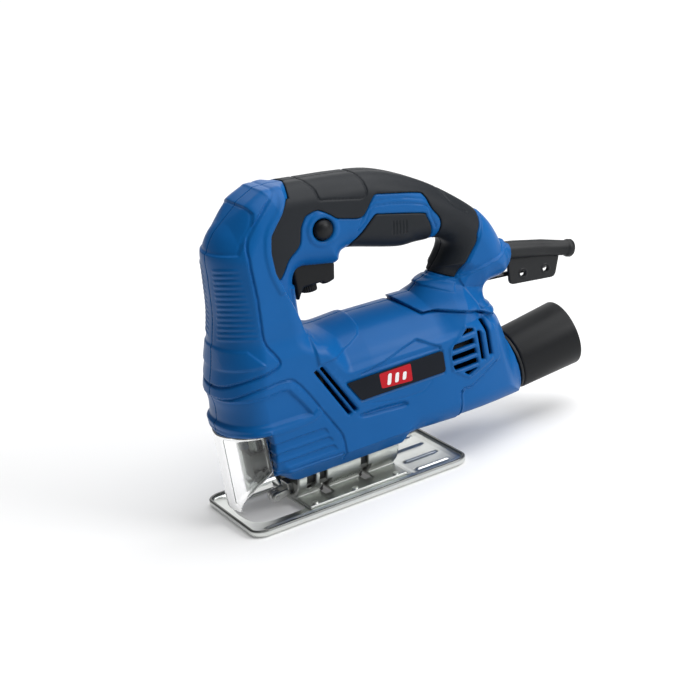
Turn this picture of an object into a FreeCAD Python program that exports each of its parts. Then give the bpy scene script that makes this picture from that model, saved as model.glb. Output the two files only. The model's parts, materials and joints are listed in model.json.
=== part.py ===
"""Corded jigsaw, as separate pieces.

Frame, in millimetres: origin at the centre of the base plate's underside, +X towards the
cord end, +Y to the tool's right, +Z up. The blade end is at -X.
"""
import FreeCAD, Part
import math
import os

V = FreeCAD.Vector

# Base plate and tilt saddle
BASE_LENGTH = 130.0
BASE_WIDTH = 68.0
BASE_RIM = 4.0
SHEET = 2.0
BASE_CORNER = 8.0
CUTOUT_X = (-59.0, -29.0)
CUTOUT_HALF = 20.0
TILT_Z = 23.0
SADDLE_R = 20.0
SADDLE_X = (-30.0, 31.0)
SADDLE_FOOT_HALF = 24.5
SADDLE_LIP_Z = 21.0
CLAMP_SCREW_X = (-12.0, 12.0)
SHOE_R = SADDLE_R - SHEET - 0.1
SHOE_TOP = 36.5

# Housing
SKIRT_Z = 18.5
BODY_HALF = 31.0
HEAD_HALF = 28.0
GRIP_HALF = 17.0
WALL = 2.5
RUBBER = 2.0

# Blade drive
PLUNGER_X = -43.0
PLUNGER_R = 3.25
STROKE = 18.0
GEAR_Z = 92.0
GEAR_X = (-20.0, -14.0)
GEAR_TEETH = 48
PINION_TEETH = 8
MODULE = 1.0
CRANK_PIN_R = 2.5
YOKE_X = (-38.5, -34.0)
CLAMP_Z = (19.5, 34.0)
BLADE_SLOT_X = (-48.0, -41.0)

# Motor
MOTOR_Z = 64.0
SHAFT_R = 4.0
CORE_X = (30.0, 62.0)
CORE_R = 25.0
ARMATURE_R = 15.0
AIR_GAP = 1.0
COMMUTATOR_X = (70.0, 81.0)
COMMUTATOR_R = 10.0
BRUSH_X = (72.5, 79.0)
FAN_X = (11.0, 23.0)
FRONT_BEARING = (-9.5, -2.5, 11.0)
REAR_BEARING = (86.0, 92.0, 9.5)

# Dust port, cord and key
PORT = V(114.4, 0, 36.0)
PORT_RISE = 6.6
PORT_BORE_R = 14.8
DUCT_Z = 28.7
DUCT_R = 7.0
HOSE_R = 16.0
CORD_IN = V(121.0, 0, 98.0)
CORD_DROP = 14.0
CORD_R = 3.5
KEY_START = V(106.5, 3.4, 84.9)
KEY_DROP = 5.6
KEY_LENGTH = 44.5
KEY_R = 1.4

# Controls
TRIGGER_X = (-6.2, 18.2)
TRIGGER_HALF = 8.5
TRIGGER_TOP = 134.0
DIAL_X = 4.2
DIAL_R = 4.7
DIAL_Z = (110.6, 114.6)
LOCK_X = 11.0
LOCK_Z = 145.7

# Housing screws: x, z and the y of the head's seat
SCREWS = [
    (-33.0, 153.0, 21.0),
    (33.0, 138.0, 12.0),
    (78.0, 130.0, 12.0),
    (104.0, 116.0, 12.0),
    (101.0, 68.0, 15.0),
    (-28.0, 51.0, 25.0),
    (4.0, 51.0, 26.5),
]


def box(x, y, z):
    """A block between (low, high) pairs along X, Y and Z."""
    return Part.makeBox(x[1] - x[0], y[1] - y[0], z[1] - z[0], V(x[0], y[0], z[0]))


def rod(start, end, radius):
    """A cylinder between two points."""
    axis = end - start
    return Part.makeCylinder(radius, axis.Length, start, axis)


def ring(start, end, outer, inner):
    """A tube between two points."""
    return rod(start, end, outer).cut(rod(start, end, inner))


def along_x(x, z, radius, y=0.0):
    """A cylinder along X at height z."""
    return rod(V(x[0], y, z), V(x[1], y, z), radius)


def along_y(x, z, y, radius):
    """A cylinder along Y."""
    return rod(V(x, y[0], z), V(x, y[1], z), radius)


def along_z(x, y, z, radius):
    """A cylinder along Z."""
    return rod(V(x, y, z[0]), V(x, y, z[1]), radius)


def joined(pieces):
    """One solid from several that meet."""
    return pieces[0].multiFuse(pieces[1:]).removeSplitter()


def mirrored(shape):
    """The same shape on the tool's other side."""
    return shape.mirror(V(0, 0, 0), V(0, 1, 0))


def outline(stretches, place):
    """A face from stretches of points: two points are a line, more are a smooth curve."""
    edges = []
    for stretch in stretches:
        points = [place(a, b) for a, b in stretch]
        if len(points) == 2:
            edges.append(Part.LineSegment(points[0], points[1]).toShape())
        else:
            curve = Part.BSplineCurve()
            curve.interpolate(points)
            edges.append(curve.toShape())
    return Part.Face(Part.Wire(edges))


def side_slab(stretches, y):
    """An outline drawn in the side view, as a slab between two y."""
    return outline(stretches, lambda a, b: V(a, y[0], b)).extrude(V(0, y[1] - y[0], 0))


def side_polygon(points, y):
    """A straight-sided outline drawn in the side view, as a slab between two y."""
    wire = Part.makePolygon([V(a, y[0], b) for a, b in points + points[:1]])
    return Part.Face(wire).extrude(V(0, y[1] - y[0], 0))


def rounded_slab(x, half, z, front_radius, rear_radius):
    """A plate whose upright edges are rounded, at its front and rear corners."""
    plate = box(x, (-half, half), z)
    for radius, edge_x in ((front_radius, x[0]), (rear_radius, x[1])):
        edges = []
        for edge in plate.Edges:
            ends = [vertex.Point for vertex in edge.Vertexes]
            upright = abs(ends[0].z - ends[1].z) > 0.5 * (z[1] - z[0])
            if upright and abs(ends[0].x - edge_x) < 0.01:
                edges.append(edge)
        plate = plate.makeFillet(radius, edges)
    return plate


# ---------------------------------------------------------------- housing

SILHOUETTE = [
    [
        (-62, 49), (-63.2, 58), (-60.2, 72), (-61, 84), (-56.5, 98),
        (-52, 114), (-50, 133), (-48, 148), (-39.5, 163),
    ],
    [(-39.5, 163), (-28, 172), (-13, 175.5)],
    [(-13, 175.5), (14, 171), (50, 164.3), (86, 145.8), (109.5, 121), (116, 110), (118.2, 101), (119, 97)],
    [(119, 97), (117.4, 91.6), (113.5, 89.6)],
    [
        (113.5, 89.6), (105, 88.6), (100.6, 84.8), (98.2, 79.6),
        (101.5, 75.4), (105.6, 71), (107.6, 66.5), (110.2, 56),
    ],
    [(110.2, 56), (114.6, 19)],
    [(114.6, 19), (36.5, 22.3)],
    [(36.5, 22.3), (34, SKIRT_Z)],
    [(34, SKIRT_Z), (-45, SKIRT_Z)],
    [(-45, SKIRT_Z), (-44, 49)],
    [(-44, 49), (-62, 49)],
]
HAND_LOOP = [
    [(-7.5, 104), (-7.2, 126.5)],
    [(-7.2, 126.5), (29, 127.5)],
    [(29, 127.5), (55, 121.5), (69, 119.7), (80, 118.4), (84.5, 114), (81, 107.5), (72, 100.5), (61, 94)],
    [(61, 94), (20, 94.6)],
    [(20, 94.6), (1, 94.2), (-5.5, 96), (-7.5, 104)],
]
LOW_SECTION = [
    [(0, 10), (-22, 10)],
    [(-22, 10), (-22, SKIRT_Z)],
    [(-22, SKIRT_Z), (-BODY_HALF, 28)],
    [(-BODY_HALF, 28), (-BODY_HALF, 66)],
    [(-BODY_HALF, 66), (-28.5, 77.5), (-23, 85.5), (-13, 92.5), (0, 95.2)],
    [(0, 95.2), (0, 10)],
]
HEAD_SECTION = [
    [(0, 60), (-HEAD_HALF, 60)],
    [(-HEAD_HALF, 60), (-HEAD_HALF, 108)],
    [(-HEAD_HALF, 108), (-25.5, 150), (-18, 170), (0, 178)],
    [(0, 178), (0, 60)],
]
PLAN = [
    [(124, 0), (124, -9)],
    [(124, -9), (116, -20), (98, -BODY_HALF)],
    [(98, -BODY_HALF), (-47, -BODY_HALF)],
    [(-47, -BODY_HALF), (-57, -22.5), (-62, -11), (-63.5, 0)],
    [(-63.5, 0), (124, 0)],
]


def limits():
    """The left half of the space that the housing fills, from its end and top views."""
    low = outline(LOW_SECTION, lambda a, b: V(-70, a, b)).extrude(V(200, 0, 0))
    head = outline(HEAD_SECTION, lambda a, b: V(-70, a, b)).extrude(V(63, 0, 0))
    grip = box((-20, 130), (-GRIP_HALF, 0), (95.5, 180))
    strut = box((58, 130), (-GRIP_HALF, 0), (80, 100))
    plan = outline(PLAN, lambda a, b: V(a, b, 0)).extrude(V(0, 0, 190))
    return joined([low, head, grip, strut]).common(plan)


def port_axis(distance):
    """A point on the dust port's axis, measured from the port's mouth."""
    turn = math.radians(PORT_RISE)
    return PORT + V(distance * math.cos(turn), 0, distance * math.sin(turn))


def cord_axis(distance):
    """A point on the cord entry's axis, measured from the housing's mouth."""
    turn = math.radians(CORD_DROP)
    return CORD_IN + V(distance * math.cos(turn), 0, -distance * math.sin(turn))


def key_axis(distance):
    """A point on the hex key's long arm, measured from its free end."""
    turn = math.radians(KEY_DROP)
    return KEY_START + V(distance * math.cos(turn), 0, -distance * math.sin(turn))


def outer_half():
    """The left half as a full solid, with its bosses for the dust port and the cord."""
    side = (-40, 0)
    body = side_slab(SILHOUETTE, side).cut(side_slab(HAND_LOOP, side)).common(limits())
    left = box((-80, 200), (-60, 0), (0, 200))
    port = rod(port_axis(-18), port_axis(-1.2), 18.2).common(left)
    port = port.common(box((80, 130), (-20, 0), (18.8, 60)))
    cord = rod(cord_axis(-12), cord_axis(-0.6), 7.2).common(left)
    return joined([body, port, cord])


GEAR_BAY_LOW = [
    (-57, 58), (-55.5, 88), (-49.8, 107.5), (-10, 107.5), (-10, 92), (-6, 90.5),
    (9, 90.5), (9, 47), (-22, 47), (-22, 54), (-57, 54),
]
GEAR_BAY_HIGH = [
    (-49.8, 103), (-48.3, 131), (-46.4, 142), (-42, 151), (-33, 161), (-20, 168), (-11, 168), (-10, 103),
]
GRIP_BAY = [
    (-12, 131), (29, 131.5), (55, 125), (82, 122), (88, 115), (85.5, 106), (76, 98),
    (84, 88), (97, 88.5), (104, 92.4), (112, 93), (115.4, 98), (112.4, 110), (105, 120), (97, 128.5),
    (84, 141), (65, 152), (40, 161.5), (10, 167), (-12, 168),
]


def bays():
    """The hollows inside the left half, kept a wall away from its outer faces."""
    hollows = joined([
        side_polygon(GEAR_BAY_LOW, (-27, 1)),
        side_polygon(GEAR_BAY_HIGH, (-21.5, 1)),
        side_polygon(GRIP_BAY, (-13.5, 1)),
        along_x((8, 95), MOTOR_Z, 25.6),
        box((36, 108), (-22, 1), (21.5, 36)),
        box((84, 94), (-13.4, 1), (80, 90)),
    ])
    space = limits()
    for step in (V(0, WALL, 0), V(WALL, WALL, 0), V(0, WALL, -WALL)):
        hollows = hollows.common(space.translated(step))
    pocket = box((-42, 30), (-28.5, -23.5), (30, 44))
    duct = along_x((32, 40), DUCT_Z, DUCT_R + 0.1)
    return joined([hollows, pocket, duct, rod(port_axis(-17), port_axis(1), PORT_BORE_R)])


def cuts():
    """The openings that the mechanism needs in the left half's walls."""
    above_shoe = box((-40, 40), (-40, 40), (SHOE_TOP + 0.1, 60))
    recess = along_x((-31.5, 32.5), TILT_Z, SADDLE_R + 0.5).cut(above_shoe)
    blade_space = box((-70, -31), (-22, 1), (0, 46))
    bush = along_z(PLUNGER_X, 0, (40, 60), 6)
    trigger = box((TRIGGER_X[0] - 0.4, TRIGGER_X[1] + 0.6), (-TRIGGER_HALF - 0.4, 1), (105, 131.5))
    button = along_y(LOCK_X, LOCK_Z, (-25, -14.6), 5.8)
    stem = along_y(LOCK_X, LOCK_Z, (-25, -12), 3.9)
    cord = rod(cord_axis(-15), cord_axis(5), 5.4)
    shapes = [recess, blade_space, bush, trigger, button, stem, cord]
    for step in range(5):
        shapes.append(box((73, 82), (-35, -20), (47.5 + 5.4 * step, 50.3 + 5.4 * step)))
    for upright in (83.6, 88.2):
        shapes.append(box((upright, upright + 2.4), (-35, -18), (47, 74)))
    for lean in (-15.0, -10.0):
        slot = [(lean, 78), (lean + 3, 78), (lean + 18, 49), (lean + 15, 49)]
        shapes.append(side_polygon(slot, (-35, -25)))
    return shapes


RUBBER_ZONE = [
    (-9, 185), (-9, 160), (24, 158), (38, 137), (62, 131), (79, 127), (92, 118), (88, 102),
    (98, 96), (114, 99), (117, 112), (130, 130), (90, 185),
]
RUBBER_CORE = [
    (-20, 172), (10, 168.6), (46, 161.8), (84, 143.8), (108.5, 122.3), (116.5, 108), (118, 90),
    (80, 90), (75, 98), (88.5, 106), (89.5, 115.5), (83.5, 121.6), (56, 124.4), (30, 130), (-20, 130),
]


def rubber_zone():
    """The part of the grip that the soft layer covers, as deep as the layer."""
    layer = side_polygon(RUBBER_ZONE, (-GRIP_HALF - 1, 0))
    return layer.cut(side_polygon(RUBBER_CORE, (-GRIP_HALF + RUBBER, 0)))


def hollow_half():
    """The left half with its hollows and openings, without screw posts."""
    half = outer_half().cut(bays())
    return half.cut(cuts() + [rubber_zone()])


def housing(right):
    """One housing half with its screw posts."""
    hollow = hollow_half()
    outside = outer_half()
    posts = []
    for x, z, seat in SCREWS:
        posts.append(along_y(x, z, (-seat - 1.5, 0), 4).common(outside))
    half = joined([hollow] + posts)
    if not right:
        holes = [along_y(x, z, (-8.2, 1), 1.5) for x, z, seat in SCREWS]
        return half.cut(holes)
    half = mirrored(half)
    holes = []
    for x, z, seat in SCREWS:
        holes.append(along_y(x, z, (-1, seat), 1.6))
        holes.append(along_y(x, z, (seat, 40), 3.4))
    return half.cut(holes)


def grip(right):
    """The soft layer on one side of the grip."""
    layer = outer_half().common(rubber_zone())
    if not right:
        return layer
    return mirrored(layer).cut([along_y(x, z, (0, 40), 3.4) for x, z, seat in SCREWS])


def badge(right):
    """A plain sign plate on the motor housing's side."""
    corners = [(3, 65.4), (9.5, 54.4), (59.3, 54), (60, 68)]
    plate = side_polygon(corners, (-BODY_HALF - 0.5, -BODY_HALF))
    return mirrored(plate) if right else plate


def housing_screws():
    """The screws that hold the halves together, driven from the right."""
    screws = []
    for x, z, seat in SCREWS:
        shank = along_y(x, z, (-8, seat), 1.45)
        screws.append(joined([shank, along_y(x, z, (seat, seat + 2.2), 3.1)]))
    return Part.Compound(screws)


# ---------------------------------------------------------------- base

def clamp_windows(half, length, z):
    """The space around each clamp screw, as boxes."""
    return [box((x - length / 2, x + length / 2), (-half, half), z) for x in CLAMP_SCREW_X]


def base_plate():
    """The pressed sole: a shallow tray with a turned-up rim and the blade's cut-out."""
    x = (-BASE_LENGTH / 2, BASE_LENGTH / 2)
    rim = 1.8
    blank = rounded_slab(x, BASE_WIDTH / 2, (0, BASE_RIM), BASE_CORNER, BASE_CORNER)
    inside = (x[0] + rim, x[1] - rim)
    corner = BASE_CORNER - rim
    tray = rounded_slab(inside, BASE_WIDTH / 2 - rim, (SHEET, BASE_RIM + 1), corner, corner)
    cutout = rounded_slab(CUTOUT_X, CUTOUT_HALF, (-1, BASE_RIM + 1), 12, 3)
    plate = blank.cut([tray, cutout] + clamp_windows(11.5, 9, (-1, 3)))
    ribs = [box((37, 59), (y - 1.2, y + 1.2), (SHEET, SHEET + 0.8)) for y in (-22, -8, 8, 22)]
    return joined([plate] + ribs)


def tilt_saddle():
    """The half-round trough on the base that turns on the shoe."""
    inner = SADDLE_R - SHEET
    trough = ring(V(SADDLE_X[0], 0, TILT_Z), V(SADDLE_X[1], 0, TILT_Z), SADDLE_R, inner)
    trough = trough.cut(box((-40, 40), (-30, 30), (SADDLE_LIP_Z, 60)))
    foot = box((SADDLE_X[0] + 1.5, SADDLE_X[1]), (-SADDLE_FOOT_HALF, SADDLE_FOOT_HALF), (SHEET, SHEET + 1.6))
    foot = foot.cut([along_x((-40, 40), TILT_Z, SADDLE_R - 1)] + clamp_windows(11.5, 9, (0, 5)))
    saddle = joined([trough, foot])
    saddle = saddle.cut(clamp_windows(16.2, 4.6, (0, 12.5)))
    notches = []
    for x in (-22.0, -15.0, 10.0):
        notches.append(box((x - 2, x + 2), (-30, 30), (12, 30)))
        notches.append(along_y(x, 12, (-30, 30), 2))
    return saddle.cut(notches)


def saddle_rivets():
    """Rivets through the saddle's foot."""
    rivets = []
    for x in (-24.0, 0.0, 25.0):
        for y in (-22.3, 22.3):
            rivets.append(along_z(x, y, (SHEET + 1.6, SHEET + 2.5), 1.7))
    return Part.Compound(rivets)


def tilt_shoe():
    """The cast block under the gearbox that the saddle is clamped to, with the dust passage."""
    span = (-28, 29)
    block = along_x(span, TILT_Z, SHOE_R)
    shoe = block.cut([box((-40, 40), (-20, 20), (SHOE_TOP, 60)), along_x((-40, 40), 27, 7)])
    return shoe.cut([along_z(x, 0, (0, 14.5), 2) for x in CLAMP_SCREW_X])


def clamp_screws():
    """The two screws that lock the base at its angle, with their washers."""
    screws = []
    for x in CLAMP_SCREW_X:
        head = along_z(x, 0, (0.4, 2.0), 2.6)
        washer = along_z(x, 0, (2.0, 2.85), 3)
        screws.append(joined([head, washer, along_z(x, 0, (2.8, 14), 1.95)]))
    return Part.Compound(screws)


def roller_arm():
    """The fork that carries the guide roller, fixed to the shoe's front."""
    cheeks = []
    for y in ((-4.5, -2.8), (2.8, 4.5)):
        cheeks.append(box((-37.5, -28), y, (6.2, 8.4)))
        cheeks.append(along_y(-37.5, 6, y, 2.4))
    back = box((-31, -28), (-4.5, 4.5), (6.2, 12))
    return joined(cheeks + [back]).cut(along_y(-37.5, 6, (-6, 6), 1))


def roller_pin():
    """The guide roller's pin."""
    return along_y(-37.5, 6, (-5, 5), 1)


def guide_roller():
    """The grooved roller that backs the blade."""
    wheel = along_y(-37.5, 6, (-2.4, 2.4), 3.5).cut(along_y(-37.5, 6, (-3, 3), 1.06))
    groove = ring(V(-37.5, -0.6, 6), V(-37.5, 0.6, 6), 4, 2.9)
    return wheel.cut(groove)


def chip_guard():
    """The clear guard round the blade, tapering down to the base."""
    centre = -32.7
    radius = 29.8
    shell = ring(V(centre, 0, 0), V(centre, 0, 60), radius, radius - 1.6)
    side = [
        (-64, 48.7), (-45.3, 48.7), (-45.6, 30.5), (-53.5, 22.5),
        (-59.6, 12.3), (-60.6, 6.5), (-64, 6.5),
    ]
    return shell.common(side_polygon(side, (-30, 30)))


# ---------------------------------------------------------------- blade drive

def toothed(x, z, teeth, first_angle):
    """A spur gear blank along X with straight-flanked teeth."""
    pitch_r = MODULE * teeth / 2
    root_r = pitch_r - 1.15 * MODULE
    tip_r = pitch_r + 0.75 * MODULE
    root_half = 0.75 * MODULE
    tip_half = 0.28 * MODULE
    pieces = [along_x(x, z, root_r)]
    for number in range(teeth):
        base_r = root_r - 0.4
        corners = [(base_r, -root_half), (tip_r, -tip_half), (tip_r, tip_half), (base_r, root_half)]
        wire = Part.makePolygon([V(x[0], a, z + r) for r, a in corners + corners[:1]])
        tooth = Part.Face(wire).extrude(V(x[1] - x[0], 0, 0))
        tooth.rotate(V(0, 0, z), V(1, 0, 0), first_angle + number * 360.0 / teeth)
        pieces.append(tooth)
    return joined(pieces)


def drive_gear():
    """The reduction gear that carries the crank pin."""
    gap_down = 180.0 / GEAR_TEETH
    gear = toothed(GEAR_X, GEAR_Z, GEAR_TEETH, gap_down)
    hub = along_x((-21.5, -13.5), GEAR_Z, 7)
    gear = joined([gear, hub]).cut(along_x((-30, 0), GEAR_Z, SHAFT_R + 0.06))
    holes = []
    for angle in (40, 140, 220, 320):
        turn = math.radians(angle)
        holes.append(along_x((-30, 0), GEAR_Z + 15 * math.sin(turn), 4, 15 * math.cos(turn)))
    socket = along_x((-30, 0), GEAR_Z, CRANK_PIN_R, STROKE / 2)
    return gear.cut(holes + [socket])


def crank_pin():
    """The pin that drives the yoke; it stops just short of it."""
    return along_x((YOKE_X[1] + 0.4, GEAR_X[1]), GEAR_Z, CRANK_PIN_R, STROKE / 2)


def gear_axle():
    """The fixed axle of the drive gear, with its collar."""
    return joined([along_x((-23.5, -10.2), GEAR_Z, SHAFT_R), along_x((-23.5, -22.2), GEAR_Z, 5.6)])


def gearbox_plate():
    """The plate that holds the gear's axle and the motor's front bearing."""
    plate = box((-12.8, -10.2), (-24, 24), (56, 103))
    seat = along_x((-10.2, FRONT_BEARING[1]), MOTOR_Z, 13.5)
    plate = joined([plate, seat]).cut(along_x((-20, 0), MOTOR_Z, 6))
    bearing_x = (FRONT_BEARING[0], FRONT_BEARING[1] + 1)
    return plate.cut([along_x(bearing_x, MOTOR_Z, FRONT_BEARING[2]), along_x((-20, 0), GEAR_Z, SHAFT_R)])


def plunger_rod():
    """The reciprocating rod."""
    return along_z(PLUNGER_X, 0, (CLAMP_Z[1] - 8, 127), PLUNGER_R)


def yoke():
    """The slotted cross-head fixed on the rod."""
    z = (GEAR_Z - 7.5, GEAR_Z + 7.5)
    plate = box(YOKE_X, (-15, 15), z)
    hub = along_z(PLUNGER_X, 0, (GEAR_Z - 6, GEAR_Z + 6), 6)
    slot = box((-40, -30), (-12.2, 12.2), (GEAR_Z - 2.8, GEAR_Z + 2.8))
    slotted = joined([plate.cut(slot), box((-40, YOKE_X[1]), (-5, 5), (GEAR_Z + 2.8, GEAR_Z + 6)), hub])
    slotted = slotted.cut(box((YOKE_X[0], YOKE_X[1] + 1), (-12.2, 12.2), (GEAR_Z - 2.8, GEAR_Z + 2.8)))
    return slotted.cut(along_z(PLUNGER_X, 0, (0, 150), PLUNGER_R))


def lower_bush():
    """The bush in the housing's floor."""
    return ring(V(PLUNGER_X, 0, 46), V(PLUNGER_X, 0, 54), 5.95, PLUNGER_R + 0.06)


def upper_bush():
    """The bush block across the head."""
    block = box((-48.5, -36.5), (-21.2, 21.2), (109, 117))
    return block.cut(along_z(PLUNGER_X, 0, (100, 120), PLUNGER_R + 0.06))


def blade_clamp():
    """The clamp at the rod's foot, with the blade's slot and two screw holes."""
    body = box((-49, -37.5), (-5.5, 5.5), CLAMP_Z)
    slot = box(BLADE_SLOT_X, (-0.8, 0.8), (CLAMP_Z[0] - 1, CLAMP_Z[1] - 8.5))
    rod_hole = along_z(PLUNGER_X, 0, (CLAMP_Z[1] - 8, 60), PLUNGER_R)
    screws = [along_y(x, CLAMP_Z[0] + 3.2, (-7, 0), 1.6) for x in (-46.2, -41.4)]
    return body.cut([slot, rod_hole] + screws)


def blade_screws():
    """The two hex socket screws that pinch the blade."""
    screws = []
    for x in (-46.2, -41.4):
        z = CLAMP_Z[0] + 3.2
        screw = along_y(x, z, (-8, -0.8), 1.55)
        screws.append(joined([screw, along_y(x, z, (-8, -5.5), 2.3)]).cut(along_y(x, z, (-9, -6.6), 1.2)))
    return Part.Compound(screws)


# ---------------------------------------------------------------- motor

def motor_shaft():
    """The armature's shaft, stepped down for the pinion."""
    return joined([along_x((-22, -9.8), MOTOR_Z, 2), along_x((-9.8, REAR_BEARING[1]), MOTOR_Z, SHAFT_R)])


def pinion():
    """The pinion on the shaft's nose."""
    return toothed((-21, -13.5), MOTOR_Z, PINION_TEETH, 0).cut(along_x((-30, 0), MOTOR_Z, 2))


def armature_core():
    """The armature's laminated stack with its winding slots."""
    x = (CORE_X[0] + 1, CORE_X[1] - 1)
    slots = []
    for number in range(12):
        slot = box((0, 100), (-1, 1), (MOTOR_Z + 8, MOTOR_Z + 20))
        slot.rotate(V(0, 0, MOTOR_Z), V(1, 0, 0), number * 30)
        slots.append(slot)
    return ring(V(x[0], 0, MOTOR_Z), V(x[1], 0, MOTOR_Z), ARMATURE_R, SHAFT_R).cut(slots)


def armature_windings():
    """The end turns of the armature's windings."""
    coils = []
    for x in ((CORE_X[0] - 5, CORE_X[0] + 1), (CORE_X[1] - 1, CORE_X[1] + 5)):
        coils.append(ring(V(x[0], 0, MOTOR_Z), V(x[1], 0, MOTOR_Z), 13, SHAFT_R))
    return Part.Compound(coils)


def commutator():
    """The commutator's copper drum with its gaps."""
    drum = ring(V(COMMUTATOR_X[0], 0, MOTOR_Z), V(COMMUTATOR_X[1], 0, MOTOR_Z), COMMUTATOR_R, SHAFT_R)
    gaps = []
    for number in range(24):
        gap = box(COMMUTATOR_X, (-0.2, 0.2), (MOTOR_Z + 9, MOTOR_Z + 11))
        gap.rotate(V(0, 0, MOTOR_Z), V(1, 0, 0), (number + 0.5) * 15)
        gaps.append(gap)
    return drum.cut(gaps)


def cooling_fan():
    """The fan behind the front bearing."""
    disc = along_x((FAN_X[1] - 2, FAN_X[1]), MOTOR_Z, 24)
    hub = along_x(FAN_X, MOTOR_Z, 8)
    blades = []
    for number in range(11):
        blade = box((FAN_X[0] + 1, FAN_X[1]), (-0.8, 0.8), (MOTOR_Z + 7, MOTOR_Z + 23.5))
        blade.rotate(V(0, 0, MOTOR_Z + 14), V(0, 0, 1), 14)
        blade.rotate(V(0, 0, MOTOR_Z), V(1, 0, 0), number * 360 / 11)
        blades.append(blade)
    wheel = joined([disc, hub] + blades).common(along_x((0, FAN_X[1]), MOTOR_Z, 24))
    return wheel.cut(along_x((0, 40), MOTOR_Z, SHAFT_R))


def bearing(size):
    """A ball bearing: two rings and its balls, as separate solids."""
    x0, x1, outer = size
    rings = [
        ring(V(x0, 0, MOTOR_Z), V(x1, 0, MOTOR_Z), outer, outer - 1.8),
        ring(V(x0, 0, MOTOR_Z), V(x1, 0, MOTOR_Z), SHAFT_R + 1.6, SHAFT_R),
    ]
    gap = outer - 1.8 - (SHAFT_R + 1.6)
    middle_r = SHAFT_R + 1.6 + gap / 2
    balls = []
    for number in range(7):
        turn = 2 * math.pi * number / 7
        place = V((x0 + x1) / 2, middle_r * math.sin(turn), MOTOR_Z + middle_r * math.cos(turn))
        balls.append(Part.makeSphere(gap / 2 - 0.02, place))
    return Part.Compound(rings + balls)


def coil_sector(x, inner, outer, start, end):
    """Part of a tube round the motor's axis, between two angles from +Y."""
    turn = end - start
    tube = Part.makeCylinder(outer, x[1] - x[0], V(0, 0, 0), V(0, 0, 1), turn)
    tube = tube.cut(Part.makeCylinder(inner, x[1] - x[0], V(0, 0, 0), V(0, 0, 1), turn))
    tube.rotate(V(0, 0, 0), V(0, 0, 1), start)
    tube.rotate(V(0, 0, 0), V(1, 1, 1), 120)
    return tube.translated(V(x[0], 0, MOTOR_Z))


def stator_core():
    """The field's laminated stack with room for the coils' legs."""
    stack = ring(V(CORE_X[0], 0, MOTOR_Z), V(CORE_X[1], 0, MOTOR_Z), CORE_R, ARMATURE_R + AIR_GAP)
    windows = []
    for start in (-38, 142):
        windows.append(coil_sector((CORE_X[0] - 1, CORE_X[1] + 1), ARMATURE_R, 22.2, start, start + 76))
    return stack.cut(windows)


def field_coils():
    """The upper and lower field coils: end turns and the legs between them."""
    coils = []
    for base in (0, 180):
        ends = []
        for x in ((CORE_X[0] - 5, CORE_X[0] - 0.1), (CORE_X[1] + 0.1, CORE_X[1] + 5)):
            ends.append(coil_sector(x, 16.5, 22, base + 8, base + 172))
        for start in (base + 8, base + 144):
            ends.append(coil_sector((CORE_X[0] - 5, CORE_X[1] + 5), 16.5, 22, start, start + 28))
        coils.append(joined(ends))
    return Part.Compound(coils)


def brushes():
    """The two carbon brushes."""
    z = (MOTOR_Z - 2.6, MOTOR_Z + 2.6)
    left = box(BRUSH_X, (-20, -COMMUTATOR_R - 0.1), z)
    return Part.Compound([left, mirrored(left)])


def brush_holders():
    """The brass boxes that guide the brushes."""
    outer = box((BRUSH_X[0] - 1.5, BRUSH_X[1] + 1.5), (-24.2, -12), (MOTOR_Z - 4.2, MOTOR_Z + 4.2))
    inner = box((BRUSH_X[0] - 0.05, BRUSH_X[1] + 0.05), (-23.4, -11), (MOTOR_Z - 2.65, MOTOR_Z + 2.65))
    holder = outer.cut(inner)
    return Part.Compound([holder, mirrored(holder)])


def brush_springs():
    """The springs behind the brushes, as sleeves of their outer size."""
    x = (BRUSH_X[0] + BRUSH_X[1]) / 2
    spring = ring(V(x, -23.3, MOTOR_Z), V(x, -20.05, MOTOR_Z), 2.2, 1.4)
    return Part.Compound([spring, mirrored(spring)])


# ---------------------------------------------------------------- electrics and controls

def trigger():
    """The trigger with its stop flange and the notch for the speed dial."""
    left, right = TRIGGER_X
    side = [
        (left, 109.6), (-4.9, 109.6), (-2.2, 114.2), (7.6, 113.8),
        (16.6, 114), (right, 122), (right, 132), (left, 132),
    ]
    lever = side_polygon(side, (-TRIGGER_HALF, TRIGGER_HALF))
    flange = box((left - 1.5, right + 1.6), (-TRIGGER_HALF - 1.5, TRIGGER_HALF + 1.5), (131.9, TRIGGER_TOP))
    notch = box((DIAL_X - DIAL_R - 0.5, DIAL_X + DIAL_R + 0.5), (-12, 12), (105, DIAL_Z[1] + 0.4))
    pin_hole = along_z(DIAL_X, 0, (110, 121.2), 1.08)
    return joined([lever, flange]).cut([notch, pin_hole])


def speed_dial():
    """The knurled thumb wheel under the trigger, on its pin."""
    wheel = along_z(DIAL_X, 0, DIAL_Z, DIAL_R)
    flutes = []
    for number in range(18):
        turn = math.radians(number * 20)
        flutes.append(along_z(DIAL_X + DIAL_R * math.cos(turn), DIAL_R * math.sin(turn), (110, 116), 0.35))
    return joined([wheel.cut(flutes), along_z(DIAL_X, 0, (DIAL_Z[1] - 0.2, 121), 1)])


def trigger_spring():
    """The trigger's return spring, as a sleeve of its outer size."""
    return ring(V(7, 0, TRIGGER_TOP), V(7, 0, 141), 3, 2.2)


def switch_body():
    """The speed-control switch above the trigger."""
    case = box((-3, 26), (-9, 9), (141, 160))
    return joined([case, box((26, 29), (-6, 6), (149, 158))])


def lock_button():
    """The domed lock-on button with its stem."""
    cap = along_y(LOCK_X, LOCK_Z, (-18.8, -17.2), 5.4)
    dome = Part.makeSphere(9.4, V(LOCK_X, -10.8, LOCK_Z)).common(along_y(LOCK_X, LOCK_Z, (-21, -18.4), 5.4))
    stem = along_y(LOCK_X, LOCK_Z, (-17.3, -12.5), 3.6)
    foot = along_y(LOCK_X, LOCK_Z, (-13.35, -12.5), 4.6)
    return joined([cap, dome, stem, foot])


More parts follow.
